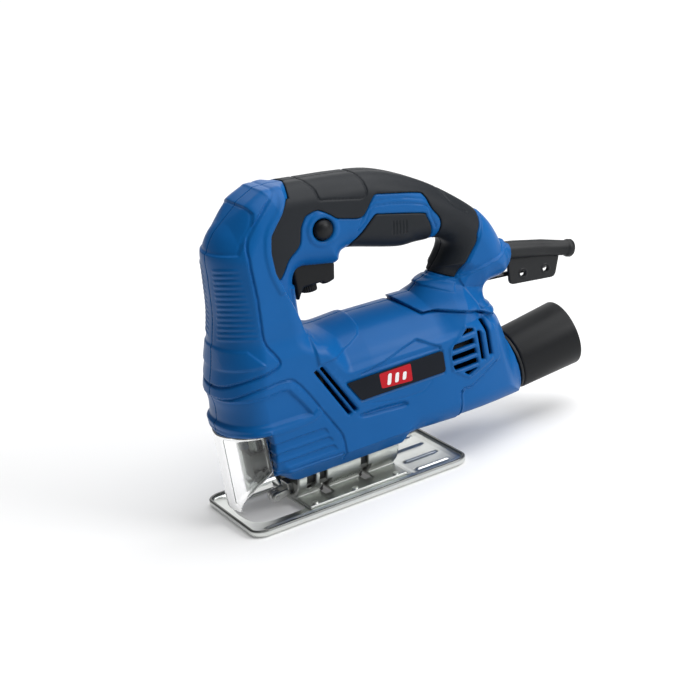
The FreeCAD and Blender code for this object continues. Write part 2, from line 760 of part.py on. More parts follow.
def lock_spring():
    """The lock button's spring, as a sleeve of its outer size."""
    return ring(V(LOCK_X, -12.5, LOCK_Z), V(LOCK_X, -9, LOCK_Z), 3, 2.2)


def capacitor():
    """The interference capacitor in the grip."""
    return joined([along_x((42, 58), 142, 6.5), along_x((58, 60), 142, 3)])


def leads():
    """The two wires from the switch through the grip to the brush holders."""
    wires = []
    for side in (-1, 1):
        route = [
            V(29, 3 * side, 154), V(62, 5 * side, 148), V(90, 8 * side, 128), V(97, 9.6 * side, 104),
            V(90, 11 * side, 92), V(89, 11 * side, 83), V(88, 18 * side, 75), V(82, 20.5 * side, 65),
        ]
        pieces = [rod(a, b, 1) for a, b in zip(route, route[1:])]
        pieces += [Part.makeSphere(1, point) for point in route[1:-1]]
        wires.append(joined(pieces))
    return Part.Compound(wires)


def strain_relief():
    """The rubber sleeve round the cord, held by its flange inside the housing."""
    length = 46.0
    body = Part.makeCone(5.3, 4.1, length, cord_axis(0), cord_axis(1) - cord_axis(0))
    root = rod(cord_axis(-13), cord_axis(0.1), 5.3)
    flange = rod(cord_axis(-13), cord_axis(-10.2), 7)
    collar = rod(cord_axis(length - 4), cord_axis(length), 5)
    ribs = [rod(cord_axis(12 + 6 * n), cord_axis(14 + 6 * n), 5.2 - 0.1 * n) for n in range(5)]
    sleeve = joined([body, root, flange, collar] + ribs)
    return sleeve.cut(rod(cord_axis(-14), cord_axis(length + 1), CORD_R))


def cord_clamp():
    """The bar that grips the cord inside the housing."""
    return box((96.5, 102.5), (-8, 8), (103.5, 107))


def cord_clamp_screws():
    """The bar's two screws."""
    screws = []
    for y in (-5, 5):
        screws.append(along_z(99.5, y, (107, 109), 2.6))
    return Part.Compound(screws)


def key_holder():
    """The rubber tab under the sleeve, with two loops behind it for the hex key."""
    corners = [(123.5, 78.4), (151.6, 74.9), (156, 86.5), (150, 90), (124.4, 96)]
    tab = side_polygon(corners, (-1.3, 1.3))
    collar = rod(cord_axis(4), cord_axis(11), 6.4)
    tab = joined([tab, collar]).cut(rod(cord_axis(-1), cord_axis(60), 5.5))
    for distance in (19.0, 33.0):
        low, high = key_axis(distance), key_axis(distance + 4)
        tab = joined([tab, rod(low, high, KEY_R + 1.5).cut(box((100, 170), (-9, 1), (60, 99)))])
    holes = [along_y(132.3, 82, (-5, 1.3), 1.6), along_y(147, 80.5, (-5, 1.3), 1.6)]
    return tab.cut(holes + [rod(key_axis(-10), key_axis(60), KEY_R + 0.15)])


def hex_key():
    """The hex key: a long arm through the tab and a short arm behind it."""
    end = key_axis(KEY_LENGTH)
    long_arm = rod(key_axis(0), end, KEY_R)
    short_arm = rod(end, end + V(0, 14, 0), KEY_R)
    return joined([long_arm, short_arm, Part.makeSphere(KEY_R, end)])


def dust_duct():
    """The tube from the shoe to the dust port."""
    return ring(V(32.8, 0, DUCT_Z), V(94, 0, DUCT_Z), DUCT_R, DUCT_R - 1.2)


def dust_adaptor():
    """The hose adaptor: a spigot in the port and a flared tube."""
    spigot = rod(port_axis(-16), port_axis(0.6), PORT_BORE_R - 0.35)
    flare = Part.makeCone(17.4, 18.8, 38.0, port_axis(0.5), port_axis(1) - port_axis(0))
    passage = rod(port_axis(-20), port_axis(20), 12.6)
    hose = rod(port_axis(17), port_axis(45), HOSE_R)
    return joined([spigot, flare]).cut([passage, hose])


def port_seal():
    """The thin ring between the adaptor and the port."""
    return ring(port_axis(-0.9), port_axis(0.5), 17.3, PORT_BORE_R - 0.35)


NODES = {
    "left_housing": lambda: housing(False),
    "right_housing": lambda: housing(True),
    "left_grip": lambda: grip(False),
    "right_grip": lambda: grip(True),
    "left_badge": lambda: badge(False),
    "right_badge": lambda: badge(True),
    "housing_screws": housing_screws,
    "base_plate": base_plate,
    "tilt_saddle": tilt_saddle,
    "saddle_rivets": saddle_rivets,
    "tilt_shoe": tilt_shoe,
    "clamp_screws": clamp_screws,
    "roller_arm": roller_arm,
    "roller_pin": roller_pin,
    "guide_roller": guide_roller,
    "chip_guard": chip_guard,
    "drive_gear": drive_gear,
    "crank_pin": crank_pin,
    "gear_axle": gear_axle,
    "gearbox_plate": gearbox_plate,
    "plunger_rod": plunger_rod,
    "yoke": yoke,
    "lower_bush": lower_bush,
    "upper_bush": upper_bush,
    "blade_clamp": blade_clamp,
    "blade_screws": blade_screws,
    "motor_shaft": motor_shaft,
    "pinion": pinion,
    "armature_core": armature_core,
    "armature_windings": armature_windings,
    "commutator": commutator,
    "cooling_fan": cooling_fan,
    "front_bearing": lambda: bearing(FRONT_BEARING),
    "rear_bearing": lambda: bearing(REAR_BEARING),
    "stator_core": stator_core,
    "field_coils": field_coils,
    "brushes": brushes,
    "brush_holders": brush_holders,
    "brush_springs": brush_springs,
    "trigger": trigger,
    "speed_dial": speed_dial,
    "trigger_spring": trigger_spring,
    "switch_body": switch_body,
    "lock_button": lock_button,
    "lock_spring": lock_spring,
    "capacitor": capacitor,
    "leads": leads,
    "strain_relief": strain_relief,
    "cord_clamp": cord_clamp,
    "cord_clamp_screws": cord_clamp_screws,
    "key_holder": key_holder,
    "hex_key": hex_key,
    "dust_duct": dust_duct,
    "dust_adaptor": dust_adaptor,
    "port_seal": port_seal,
}

os.makedirs("parts", exist_ok=True)
for name, build in NODES.items():
    shape = build()
    shape.exportStep("parts/" + name + ".step")
    print(name, len(shape.Solids), round(shape.Volume / 1000, 2), "cm3", shape.isValid())
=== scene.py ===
"""The looks of a corded jigsaw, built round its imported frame.

Sizes below are millimetres in the frame's own axes: +X towards the cord, +Y to the tool's
right, +Z up from the sole. Meshes are turned into metres when they are made.
"""
import json
import logging
import math
from dataclasses import dataclass, field
from enum import Enum
from typing import Any, Callable, Dict, List, Optional, Sequence, Tuple, Union

import bpy
import numpy as np
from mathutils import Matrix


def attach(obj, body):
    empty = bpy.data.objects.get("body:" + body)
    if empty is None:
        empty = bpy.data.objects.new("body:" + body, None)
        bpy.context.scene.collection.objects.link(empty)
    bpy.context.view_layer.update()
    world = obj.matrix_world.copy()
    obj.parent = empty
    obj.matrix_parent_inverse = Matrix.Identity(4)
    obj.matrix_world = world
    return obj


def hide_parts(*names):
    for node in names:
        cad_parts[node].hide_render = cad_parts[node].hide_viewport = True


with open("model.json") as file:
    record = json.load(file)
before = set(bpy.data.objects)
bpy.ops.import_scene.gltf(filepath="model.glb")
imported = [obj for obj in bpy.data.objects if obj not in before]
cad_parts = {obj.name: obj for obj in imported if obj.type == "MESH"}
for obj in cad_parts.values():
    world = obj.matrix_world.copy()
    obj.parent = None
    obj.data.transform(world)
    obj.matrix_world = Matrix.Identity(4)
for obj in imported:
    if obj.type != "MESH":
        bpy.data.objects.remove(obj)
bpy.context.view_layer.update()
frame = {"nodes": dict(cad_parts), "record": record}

import openvdb
from mathutils import Matrix, Vector

LOG = logging.getLogger("jigsaw")
MM = 0.001
Point2 = Tuple[float, float]
Point3 = Tuple[float, float, float]
Colour = Tuple[float, float, float]
Array = np.ndarray


class Side(Enum):
    """Which half of the tool a piece belongs to."""

    LEFT = -1
    RIGHT = 1


# ------------------------------------------------------------------ curves and fields


def flowing(points: Sequence[Point2], steps: int = 6) -> List[Point2]:
    """A smooth line through points.

    Args:
        points: The points that the line goes through.
        steps: Pieces between two of them.

    Returns:
        The line's points, ends included.
    """
    known = np.array([points[0], *points, points[-1]], dtype=float)
    line = []
    for index in range(1, len(known) - 2):
        before, start, end, after = known[index - 1 : index + 3]
        for step in range(steps):
            t = step / steps
            bend = (2 * before - 5 * start + 4 * end - after) * t * t
            swing = (3 * start - before - 3 * end + after) * t ** 3
            line.append(tuple(0.5 * (2 * start + (end - before) * t + bend + swing)))
    line.append(tuple(points[-1]))
    return line


def outline(*stretches: Sequence[Point2]) -> List[Point2]:
    """A closed outline from stretches: two points are straight, more are smooth.

    Args:
        stretches: Each starts where the one before it ends.

    Returns:
        The outline's points, without the closing one.
    """
    points: List[Point2] = []
    for stretch in stretches:
        line = flowing(stretch) if len(stretch) > 2 else list(stretch)
        points.extend(line[:-1])
    return points


def ease(value: Array, low: float, high: float) -> Array:
    """A smooth step from 0 at low to 1 at high."""
    t = np.clip((value - low) / (high - low), 0, 1)
    return t * t * (3 - 2 * t)


def blend_min(first: Array, second: Array, width: float) -> Array:
    """The union of two fields with a rounded joint of the given width."""
    mix = np.clip(0.5 + 0.5 * (second - first) / width, 0, 1)
    return second * (1 - mix) + first * mix - width * mix * (1 - mix)


def blend_max(first: Array, second: Array, width: float) -> Array:
    """What two fields share, with a rounded edge of the given width."""
    return -blend_min(-first, -second, width)


@dataclass
class Grid:
    """A block of sample points, which a field over it turns into a mesh."""

    low: Point3
    high: Point3
    step: float

    def __post_init__(self) -> None:
        """Lays out the three axes as arrays that broadcast together."""
        axes = [np.arange(a, b + self.step, self.step, dtype=np.float32) for a, b in zip(self.low, self.high)]
        self.x = axes[0][:, None, None]
        self.y = axes[1][None, :, None]
        self.z = axes[2][None, None, :]

    def box(self, x: Point2, y: Point2, z: Point2, corner: float = 0.0) -> Array:
        """Distance to a block with rounded edges.

        Args:
            x: Low and high along X.
            y: Low and high along Y.
            z: Low and high along Z.
            corner: The edges' radius.

        Returns:
            A field that is negative inside.
        """
        parts = []
        for axis, (low, high) in ((self.x, x), (self.y, y), (self.z, z)):
            parts.append(np.abs(axis - (low + high) / 2) - (high - low) / 2 + corner)
        outside = np.sqrt(sum(np.maximum(part, 0) ** 2 for part in parts))
        inside = np.minimum(np.maximum(np.maximum(parts[0], parts[1]), parts[2]), 0)
        return outside + inside - corner

    def rod(self, start: Point3, end: Point3, radius: float) -> Array:
        """Distance to a flat-ended cylinder.

        Args:
            start: One end of its axis.
            end: The other end.
            radius: Its radius.

        Returns:
            A field that is negative inside.
        """
        axis = np.array(end, dtype=float) - np.array(start, dtype=float)
        length = float(np.linalg.norm(axis))
        axis = axis / length
        dx, dy, dz = self.x - start[0], self.y - start[1], self.z - start[2]
        along = dx * axis[0] + dy * axis[1] + dz * axis[2]
        away = np.sqrt(np.maximum(dx * dx + dy * dy + dz * dz - along * along, 0)) - radius
        return np.maximum(away, np.maximum(-along, along - length))

    def mesh(self, name: str, values: Array, detail: float = 0.0) -> bpy.types.Object:
        """Turns a field into a smooth mesh object.

        Args:
            name: The object's name.
            values: The field over the grid, negative inside.
            detail: From 0, every cell kept, to 1, flat places made of few faces.

        Returns:
            The new object, in metres.
        """
        block = np.ascontiguousarray(np.broadcast_to(values, (self.x.size, self.y.size, self.z.size)), np.float32)
        block = np.pad(np.clip(block, -3 * self.step, 3 * self.step), 1, constant_values=3 * self.step)
        volume = openvdb.FloatGrid(3 * self.step)
        volume.copyFromArray(block)
        points, triangles, quads = volume.convertToPolygons(0.0, detail)
        corner = np.array(self.low, dtype=float) - self.step
        places = (points * self.step + corner) * MM
        faces = [face[::-1] for face in triangles.tolist()] + [face[::-1] for face in quads.tolist()]
        return solid(name, places.tolist(), faces)


@dataclass
class Drawing:
    """Distances to shapes drawn in a view, on the grid's two axes of that view."""

    across: Array
    up: Array
    reach: float = 14.0

    def line(self, points: Sequence[Point2]) -> Array:
        """Distance to an open line, no more than the reach."""
        return self._window(points, False)

    def shape(self, points: Sequence[Point2]) -> Array:
        """Signed distance to a closed shape, negative inside."""
        return self._window(list(points) + [points[0]], True)

    def spot(self, centre: Point2, radius: float) -> Array:
        """Signed distance to a circle."""
        return np.hypot(self.across - centre[0], self.up - centre[1]) - radius

    def groove(self, points: Sequence[Point2], width: float, depth: float) -> Array:
        """How deep a rounded groove along a line cuts."""
        return depth * (1 - ease(self.line(points), 0.15 * width, 0.5 * width))

    def step(self, points: Sequence[Point2], bevel: float, depth: float) -> Array:
        """How deep a sunk panel cuts, with a bevel at its edge."""
        return depth * (1 - ease(self.shape(points), -bevel, 0.0))

    def _window(self, points: Sequence[Point2], closed: bool) -> Array:
        """The distance, worked out only near the points."""
        line = np.array(points, dtype=np.float32)
        rows = self.across[:, 0, 0]
        columns = self.up[0, 0, :]
        keep_rows = (rows > line[:, 0].min() - self.reach) & (rows < line[:, 0].max() + self.reach)
        keep_columns = (columns > line[:, 1].min() - self.reach) & (columns < line[:, 1].max() + self.reach)
        x = rows[keep_rows][:, None]
        z = columns[keep_columns][None, :]
        best = np.full((x.size, z.size), self.reach ** 2, dtype=np.float32)
        inside = np.zeros(best.shape, dtype=bool)
        for (x0, z0), (x1, z1) in zip(line[:-1], line[1:]):
            dx, dz = x1 - x0, z1 - z0
            t = np.clip(((x - x0) * dx + (z - z0) * dz) / max(dx * dx + dz * dz, 1e-9), 0, 1)
            best = np.minimum(best, (x - x0 - t * dx) ** 2 + (z - z0 - t * dz) ** 2)
            if closed and z0 != z1:
                crosses = (z0 > z) != (z1 > z)
                inside ^= crosses & (x < x0 + (z - z0) * dx / dz)
        near = np.sqrt(best)
        whole = np.full((rows.size, columns.size), self.reach, dtype=np.float32)
        whole[np.ix_(keep_rows, keep_columns)] = np.where(inside, -near, near)
        return whole[:, None, :]


# ------------------------------------------------------------------ meshes


def solid(name: str, places: Sequence[Sequence[float]], faces: Sequence[Sequence[int]]) -> bpy.types.Object:
    """A smooth-shaded mesh object from points in metres and faces."""
    mesh = bpy.data.meshes.new(name)
    mesh.from_pydata(places, [], faces)
    mesh.validate()
    mesh.polygons.foreach_set("use_smooth", [True] * len(mesh.polygons))
    mesh.update()
    piece = bpy.data.objects.new(name, mesh)
    bpy.context.scene.collection.objects.link(piece)
    return piece


def turned(name: str, profile: Sequence[Point2], start: Point3, along: Point3, segments: int = 96) -> bpy.types.Object:
    """A turned piece.

    Args:
        name: The object's name.
        profile: A closed loop of (distance along the axis, radius), not crossing the axis.
        start: Where the axis starts.
        along: The axis's direction.
        segments: Faces round it.

    Returns:
        The new object.
    """
    axis = Vector(along).normalized()
    side = axis.orthogonal().normalized()
    up = axis.cross(side)
    places, faces = [], []
    count = len(profile)
    for turn in range(segments):
        angle = 2 * math.pi * turn / segments
        out = side * math.cos(angle) + up * math.sin(angle)
        for distance, radius in profile:
            places.append((Vector(start) + axis * distance + out * radius) * MM)
    for turn in range(segments):
        after = (turn + 1) % segments
        for index in range(count):
            following = (index + 1) % count
            if profile[index][1] < 1e-6 and profile[following][1] < 1e-6:
                continue
            faces.append((turn * count + index, after * count + index, after * count + following, turn * count + following))
    piece = solid(name, places, faces)
    crisp(piece, 32)
    return piece


def swept(name: str, path: Sequence[Point3], section: Sequence[Point2], scales: Optional[Sequence[float]] = None) -> bpy.types.Object:
    """A bar that follows a path.

    Args:
        name: The object's name.
        path: The centre line.
        section: The cross-section's corners.
        scales: The section's size at each point of the path, 1 where left out.

    Returns:
        The new object, with closed ends.
    """
    line = [Vector(point) for point in path]
    count = len(section)
    places, faces = [], []
    across = Vector((0, 1, 0)) if abs((line[1] - line[0]).normalized().y) < 0.9 else Vector((1, 0, 0))
    for index, point in enumerate(line):
        tangent = (line[min(index + 1, len(line) - 1)] - line[max(index - 1, 0)]).normalized()
        up = tangent.cross(across).normalized()
        across = up.cross(tangent).normalized()
        size = scales[index] if scales else 1.0
        for a, b in section:
            places.append((point + across * (a * size) + up * (b * size)) * MM)
    for index in range(len(line) - 1):
        for corner in range(count):
            after = (corner + 1) % count
            low, high = index * count, (index + 1) * count
            faces.append((low + corner, low + after, high + after, high + corner))
    faces.append(tuple(reversed(range(count))))
    faces.append(tuple(range((len(line) - 1) * count, len(line) * count)))
    piece = solid(name, places, faces)
    crisp(piece, 35)
    return piece


def crisp(piece: bpy.types.Object, degrees: float) -> None:
    """Shades edges sharper than an angle as edges, and smooth elsewhere."""
    piece.data.set_sharp_from_angle(angle=math.radians(degrees))


def rounded(profile: Sequence[Point2], radius: float, steps: int = 3) -> List[Point2]:
    """A closed profile with its corners rounded.

    Args:
        profile: The corners.
        radius: The rounding, made smaller where two corners are close.
        steps: Points of each rounding.

    Returns:
        The new profile.
    """
    result: List[Point2] = []
    count = len(profile)
    for index in range(count):
        here = Vector(profile[index])
        to_before = Vector(profile[index - 1]) - here
        to_after = Vector(profile[(index + 1) % count]) - here
        reach = min(radius, 0.45 * to_before.length, 0.45 * to_after.length)
        first = here + to_before.normalized() * reach
        last = here + to_after.normalized() * reach
        for step in range(steps + 1):
            t = step / steps
            point = first * (1 - t) ** 2 + here * 2 * t * (1 - t) + last * t * t
            result.append((point.x, point.y))
    return result


# ------------------------------------------------------------------ shader nodes

Number = Union[float, "Socket"]


class Socket:
    """An output of a node, on which sums can be written."""

    def __init__(self, web: "Web", link: Any) -> None:
        """Wraps one output socket."""
        self.web = web
        self.link = link

    def _with(self, operation: str, first: Number, second: Number) -> "Socket":
        """A Math node on two values."""
        return self.web.node("ShaderNodeMath", {"operation": operation}, {0: first, 1: second})

    def __add__(self, other: Number) -> "Socket":
        """The sum."""
        return self._with("ADD", self, other)

    __radd__ = __add__

    def __sub__(self, other: Number) -> "Socket":
        """The difference."""
        return self._with("SUBTRACT", self, other)

    def __rsub__(self, other: Number) -> "Socket":
        """A number less this value."""
        return self._with("SUBTRACT", other, self)

    def __mul__(self, other: Number) -> "Socket":
        """The product."""
        return self._with("MULTIPLY", self, other)

    __rmul__ = __mul__


class Web:
    """A material's nodes."""

    def __init__(self, name: str) -> None:
        """Starts a material with an empty node tree."""
        self.material = bpy.data.materials.new(name)
        self.material.use_nodes = True
        self.tree = self.material.node_tree
        self.tree.nodes.clear()

    def node(self, kind: str, settings: Dict[str, Any], sockets: Dict[Any, Any], output: Any = 0) -> Socket:
        """Adds a node.

        Args:
            kind: Its type.
            settings: Its properties, and "stops" for a ramp.
            sockets: Values or links of its inputs, by name or number.
            output: The output to return.

        Returns:
            That output.
        """
        made = self.tree.nodes.new(kind)
        for key, value in settings.items():
            if key == "stops":
                self._stops(made.color_ramp, value)
            else:
                setattr(made, key, value)
        for key, value in sockets.items():
            if isinstance(value, Socket):
                self.tree.links.new(value.link, made.inputs[key])
            else:
                made.inputs[key].default_value = value
        return Socket(self, made.outputs[output])

    @staticmethod
    def _stops(ramp: Any, stops: Sequence[Tuple[float, float]]) -> None:
        """Sets a ramp's stops as greys."""
        while len(ramp.elements) < len(stops):
            ramp.elements.new(0.5)
        for element, (place, grey) in zip(ramp.elements, stops):
            element.position = place
            element.color = (grey, grey, grey, 1)

    def place(self) -> Socket:
        """Where a point is in the frame, in metres."""
        return self.node("ShaderNodeTexCoord", {}, {}, "Object")

    def noise(self, size_mm: float, detail: float = 2.0, stretch: Point3 = (1, 1, 1)) -> Socket:
        """Noise whose blots are about a size.

        Args:
            size_mm: The size of a blot.
            detail: Octaves.
            stretch: How much longer a blot is along each axis.

        Returns:
            A value from 0 to 1.
        """
        scale = tuple(1 / (size_mm * MM * part) for part in stretch)
        spot = self.node("ShaderNodeVectorMath", {"operation": "MULTIPLY"}, {0: self.place(), 1: scale})
        return self.node("ShaderNodeTexNoise", {}, {"Vector": spot, "Scale": 1.0, "Detail": detail}, "Fac")

    def ramp(self, value: Socket, stops: Sequence[Tuple[float, float]]) -> Socket:
        """A value through a ramp of greys."""
        return self.node("ShaderNodeValToRGB", {"stops": stops}, {"Fac": value}, "Color")

    def mix(self, share: Socket, first: Colour, second: Any) -> Socket:
        """A colour between two."""
        start = first if isinstance(first, Socket) else (*first, 1)
        end = second if isinstance(second, Socket) else (*second, 1)
        return self.node("ShaderNodeMix", {"data_type": "RGBA"}, {0: share, 6: start, 7: end}, 2)

    def edges(self) -> Socket:
        """How much an edge stands out, from 0 on flat places to 1."""
        sharp = self.node("ShaderNodeNewGeometry", {}, {}, "Pointiness")
        return self.ramp(sharp, [(0.51, 0.0), (0.58, 1.0)])

    def creases(self) -> Socket:
        """How deep a crease is, from 0 on flat places to 1; the mask for painted shade."""
        sharp = self.node("ShaderNodeNewGeometry", {}, {}, "Pointiness")
        return self.ramp(sharp, [(0.40, 1.0), (0.485, 0.0)])

    def bump(self, height: Socket, depth_mm: float, strength: float = 1.0) -> Socket:
        """A normal from a height."""
        sockets = {"Height": height, "Distance": depth_mm * MM, "Strength": strength}
        return self.node("ShaderNodeBump", {}, sockets, "Normal")

    def surface(self, sockets: Dict[str, Any]) -> bpy.types.Material:
        """Finishes the material with a Principled shader."""
        shader = self.node("ShaderNodeBsdfPrincipled", {}, sockets, "BSDF")
        self.node_out(shader)
        return self.material

    def node_out(self, shader: Socket) -> None:
        """Joins a shader to the material's output."""
        end = self.tree.nodes.new("ShaderNodeOutputMaterial")
        self.tree.links.new(shader.link, end.inputs["Surface"])


@dataclass(frozen=True)
class Moulded:
    """A moulded plastic or rubber: a fine spark-eroded grain, faint mottling, rubbed edges and painted shade in
    creases.
    """

    name: str
    colour: Colour
    roughness: float
    grain_mm: float = 0.35
    grain_depth: float = 0.03
    rubbed: float = 0.12
    sheen: float = 0.0
    shine: float = 0.2

    def material(self) -> bpy.types.Material:
        """Builds the material."""
        web = Web(self.name)
        broad = web.noise(38.0, 3.0)
        grain = web.noise(self.grain_mm, 2.0)
        dark = tuple(0.86 * part for part in self.colour)
        light = tuple(min(1.0, 1.1 * part + 0.004) for part in self.colour)
        worn = tuple(min(1.0, 1.5 * part + 0.03) for part in self.colour)
        base = web.mix(broad, dark, light)
        base = web.mix(web.edges() * self.rubbed, base, worn)
        # painted shade: creases darkened towards a fifth of the colour
        base = web.mix(web.creases() * 0.65, base, tuple(0.2 * part for part in self.colour))
        smears = web.noise(9.0, 4.0, (2.5, 1.0, 1.0))
        rough = smears * 0.12 + (self.roughness - 0.06) + grain * 0.06
        sockets = {
            "Base Color": base,
            "Roughness": rough,
            "Normal": web.bump(grain, self.grain_depth, 0.6),
            "IOR": 1.5,
            "Sheen Weight": self.sheen,
            "Specular IOR Level": self.shine,
        }
        return web.surface(sockets)


@dataclass(frozen=True)
class Metal:
    """A metal: streaks along one direction, fine scratches, stains, brighter edges, painted shade in creases and, where
    set, painted shade above a height.
    """

    name: str
    colour: Colour
    roughness: float
    streak: Point3 = (30, 1, 1)
    depth_mm: float = 0.012
    stain: Colour = (0.3, 0.28, 0.25)
    stained: float = 0.25
    painted_shade_above: float = 0.0
    painted_shade_share: float = 0.12

    def painted_shade_mask(self, web: Web) -> Socket:
        """From 0 below the height where the painted shade begins to 1 above it."""
        height = web.node("ShaderNodeSeparateXYZ", {}, {"Vector": web.place()}, "Z")
        return web.ramp(height * 20, [(self.painted_shade_above * 0.02, 0.0), (self.painted_shade_above * 0.02 + 0.02, 1.0)])

    def material(self) -> bpy.types.Material:
        """Builds the material."""
        web = Web(self.name)
        streaks = web.noise(0.5, 3.0, self.streak)
        clouds = web.noise(14.0, 4.0)
        scratch = web.ramp(web.noise(0.9, 5.0, (14, 1, 14)), [(0.62, 0.0), (0.66, 1.0)])
        spots = web.ramp(clouds, [(0.5, 0.0), (0.72, 1.0)])
        base = web.mix(spots * self.stained, self.colour, self.stain)
        bright = tuple(min(1.0, 1.25 * part) for part in self.colour)
        base = web.mix(web.edges() * 0.5, base, bright)
        # painted shade: creases darkened towards a sixth of the colour
        base = web.mix(web.creases() * 0.75, base, tuple(0.16 * part for part in self.colour))
        # painted shade: everything above a set height darkened to a share of the colour
        if self.painted_shade_above:
            height = self.painted_shade_mask(web)
            base = web.mix(height, base, tuple(self.painted_shade_share * part for part in self.colour))
        rough = streaks * 0.14 + clouds * 0.12 + (self.roughness - 0.13) + scratch * 0.1
        height = streaks * 0.7 + scratch * -0.6
        sockets = {
            "Base Color": base,
            "Metallic": 1.0,
            "Roughness": rough,
            "Normal": web.bump(height, self.depth_mm, 0.5),
        }
        return web.surface(sockets)


@dataclass(frozen=True)
class Clear:
    """A clear moulded plastic with faint haze and scuffs."""

    name: str
    colour: Colour

    def material(self) -> bpy.types.Material:
        """Builds the material."""
        web = Web(self.name)
        haze = web.noise(6.0, 4.0, (1, 1, 3))
        scuffs = web.ramp(web.noise(1.2, 5.0, (2, 9, 2)), [(0.6, 0.0), (0.68, 1.0)])
        sockets = {
            "Base Color": (*self.colour, 1),
            "Roughness": haze * 0.08 + scuffs * 0.1 + 0.03,
            "Transmission Weight": 1.0,
            "IOR": 1.42,
            "Normal": web.bump(haze, 0.05, 0.5),
        }
        return web.surface(sockets)


@dataclass(frozen=True)
class Paper:
    """The pale studio floor."""

    name: str
    colour: Colour

    def material(self) -> bpy.types.Material:
        """Builds the material."""
        web = Web(self.name)
        cloud = web.noise(400.0, 2.0)
        dim = tuple(0.985 * part for part in self.colour)
        glow = {"Emission Color": (1.0, 1.0, 1.0, 1.0), "Emission Strength": 0.12}
        return web.surface({"Base Color": web.mix(cloud, dim, self.colour), "Roughness": 0.9, **glow})


FINISHES: Dict[str, Any] = {
    "blue_shell": Moulded("blue_shell", (0.0014, 0.094, 0.31), 0.34, shine=0.15),
    "soft_grip": Moulded("soft_grip", (0.005, 0.0075, 0.0112), 0.5, 0.5, 0.05, 0.05, shine=0.26),
    "black_plastic": Moulded("black_plastic", (0.0048, 0.0055, 0.0068), 0.42, 0.3, 0.03, 0.1, shine=0.2),
    "black_rubber": Moulded("black_rubber", (0.011, 0.012, 0.0135), 0.44, 0.4, 0.03, 0.08, shine=0.25),
    "sign_plate": Moulded("sign_plate", (0.004, 0.0062, 0.011), 0.42, 0.6, 0.01, 0.05, shine=0.12),
    "sign_red": Moulded("sign_red", (0.46, 0.004, 0.012), 0.5, 0.6, 0.01, 0.0),
    "sign_white": Moulded("sign_white", (0.8, 0.8, 0.8), 0.5, 0.6, 0.01, 0.0),
    "white_nylon": Moulded("white_nylon", (0.6, 0.6, 0.55), 0.45),
    "carbon": Moulded("carbon", (0.02, 0.02, 0.02), 0.55, 0.2, 0.03),
    "wire": Moulded("wire", (0.12, 0.05, 0.02), 0.5),
    "pressed_steel": Metal("pressed_steel", (0.74, 0.75, 0.72), 0.34, (12, 1, 1), 0.003, stained=0.06),
    # sole_steel: the steel darkened above 2.7 mm, a painted dark reflection on the rim
    "sole_steel": Metal("sole_steel", (0.7, 0.715, 0.69), 0.34, (12, 1, 1), 0.003, stained=0.06, painted_shade_above=2.7, painted_shade_share=0.22),
    "blackened_steel": Metal("blackened_steel", (0.035, 0.035, 0.037), 0.42),
    "saddle_steel": Metal("saddle_steel", (0.5, 0.515, 0.495), 0.36, (12, 1, 1), 0.003, stained=0.06),
    "dark_steel": Metal("dark_steel", (0.17, 0.17, 0.17), 0.38),
    "machined_steel": Metal("machined_steel", (0.6, 0.6, 0.6), 0.28, (1, 1, 20)),
    # cast_alloy: darkened above 11.5 mm, painted shade where the body above shadows it
    "cast_alloy": Metal("cast_alloy", (0.42, 0.43, 0.42), 0.45, (1, 1, 1), 0.02, painted_shade_above=11.5),
    "bronze": Metal("bronze", (0.55, 0.36, 0.16), 0.4, (1, 1, 1), 0.03),
    "brass": Metal("brass", (0.72, 0.53, 0.22), 0.3),
    "copper": Metal("copper", (0.72, 0.3, 0.14), 0.35, (1, 8, 8), 0.05),
    "laminations": Metal("laminations", (0.22, 0.22, 0.24), 0.45, (0.5, 20, 20), 0.06),
    "clear_guard": Clear("clear_guard", (0.4, 0.425, 0.405)),
}


class Paints:
    """Makes each finish once, and puts it on pieces and on CAD nodes."""

    def __init__(self) -> None:
        """Starts with nothing made."""
        self.made: Dict[str, bpy.types.Material] = {}

    def get(self, name: str) -> bpy.types.Material:
        """The material of a finish."""
        if name not in self.made:
            self.made[name] = FINISHES[name].material()
        return self.made[name]

    def coat(self, piece: bpy.types.Object, finish: str) -> None:
        """Gives a piece one finish all over."""
        piece.data.materials.clear()
        piece.data.materials.append(self.get(finish))

    def dress_frame(self) -> None:
        """Gives every CAD node the finish that its record slot names."""
        for entry in frame["record"]["subparts"]:
            node = frame["nodes"][entry["node"]]
            for slot in node.material_slots:
                slot.material = self.get(entry["material_slot"])
            LOG.info("dressed %s in %s", entry["node"], entry["material_slot"])


PAINTS = Paints()


def finish_piece(piece: bpy.types.Object, body: str, slot: str, nodes: Sequence[str] = (), finish: str = "") -> None:
    """Paints a piece and ties it to the frame.

    Args:
        piece: The piece.
        body: The CAD body it moves with.
        slot: The record's material slot.
        nodes: CAD nodes that it stands for.
        finish: Its finish, where that isn't the slot's own.
    """
    PAINTS.coat(piece, finish or slot)
    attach(piece, body)
    if nodes:
        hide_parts(*nodes)
    LOG.info("built %s: %d faces", piece.name, len(piece.data.polygons))


# ------------------------------------------------------------------ the housing

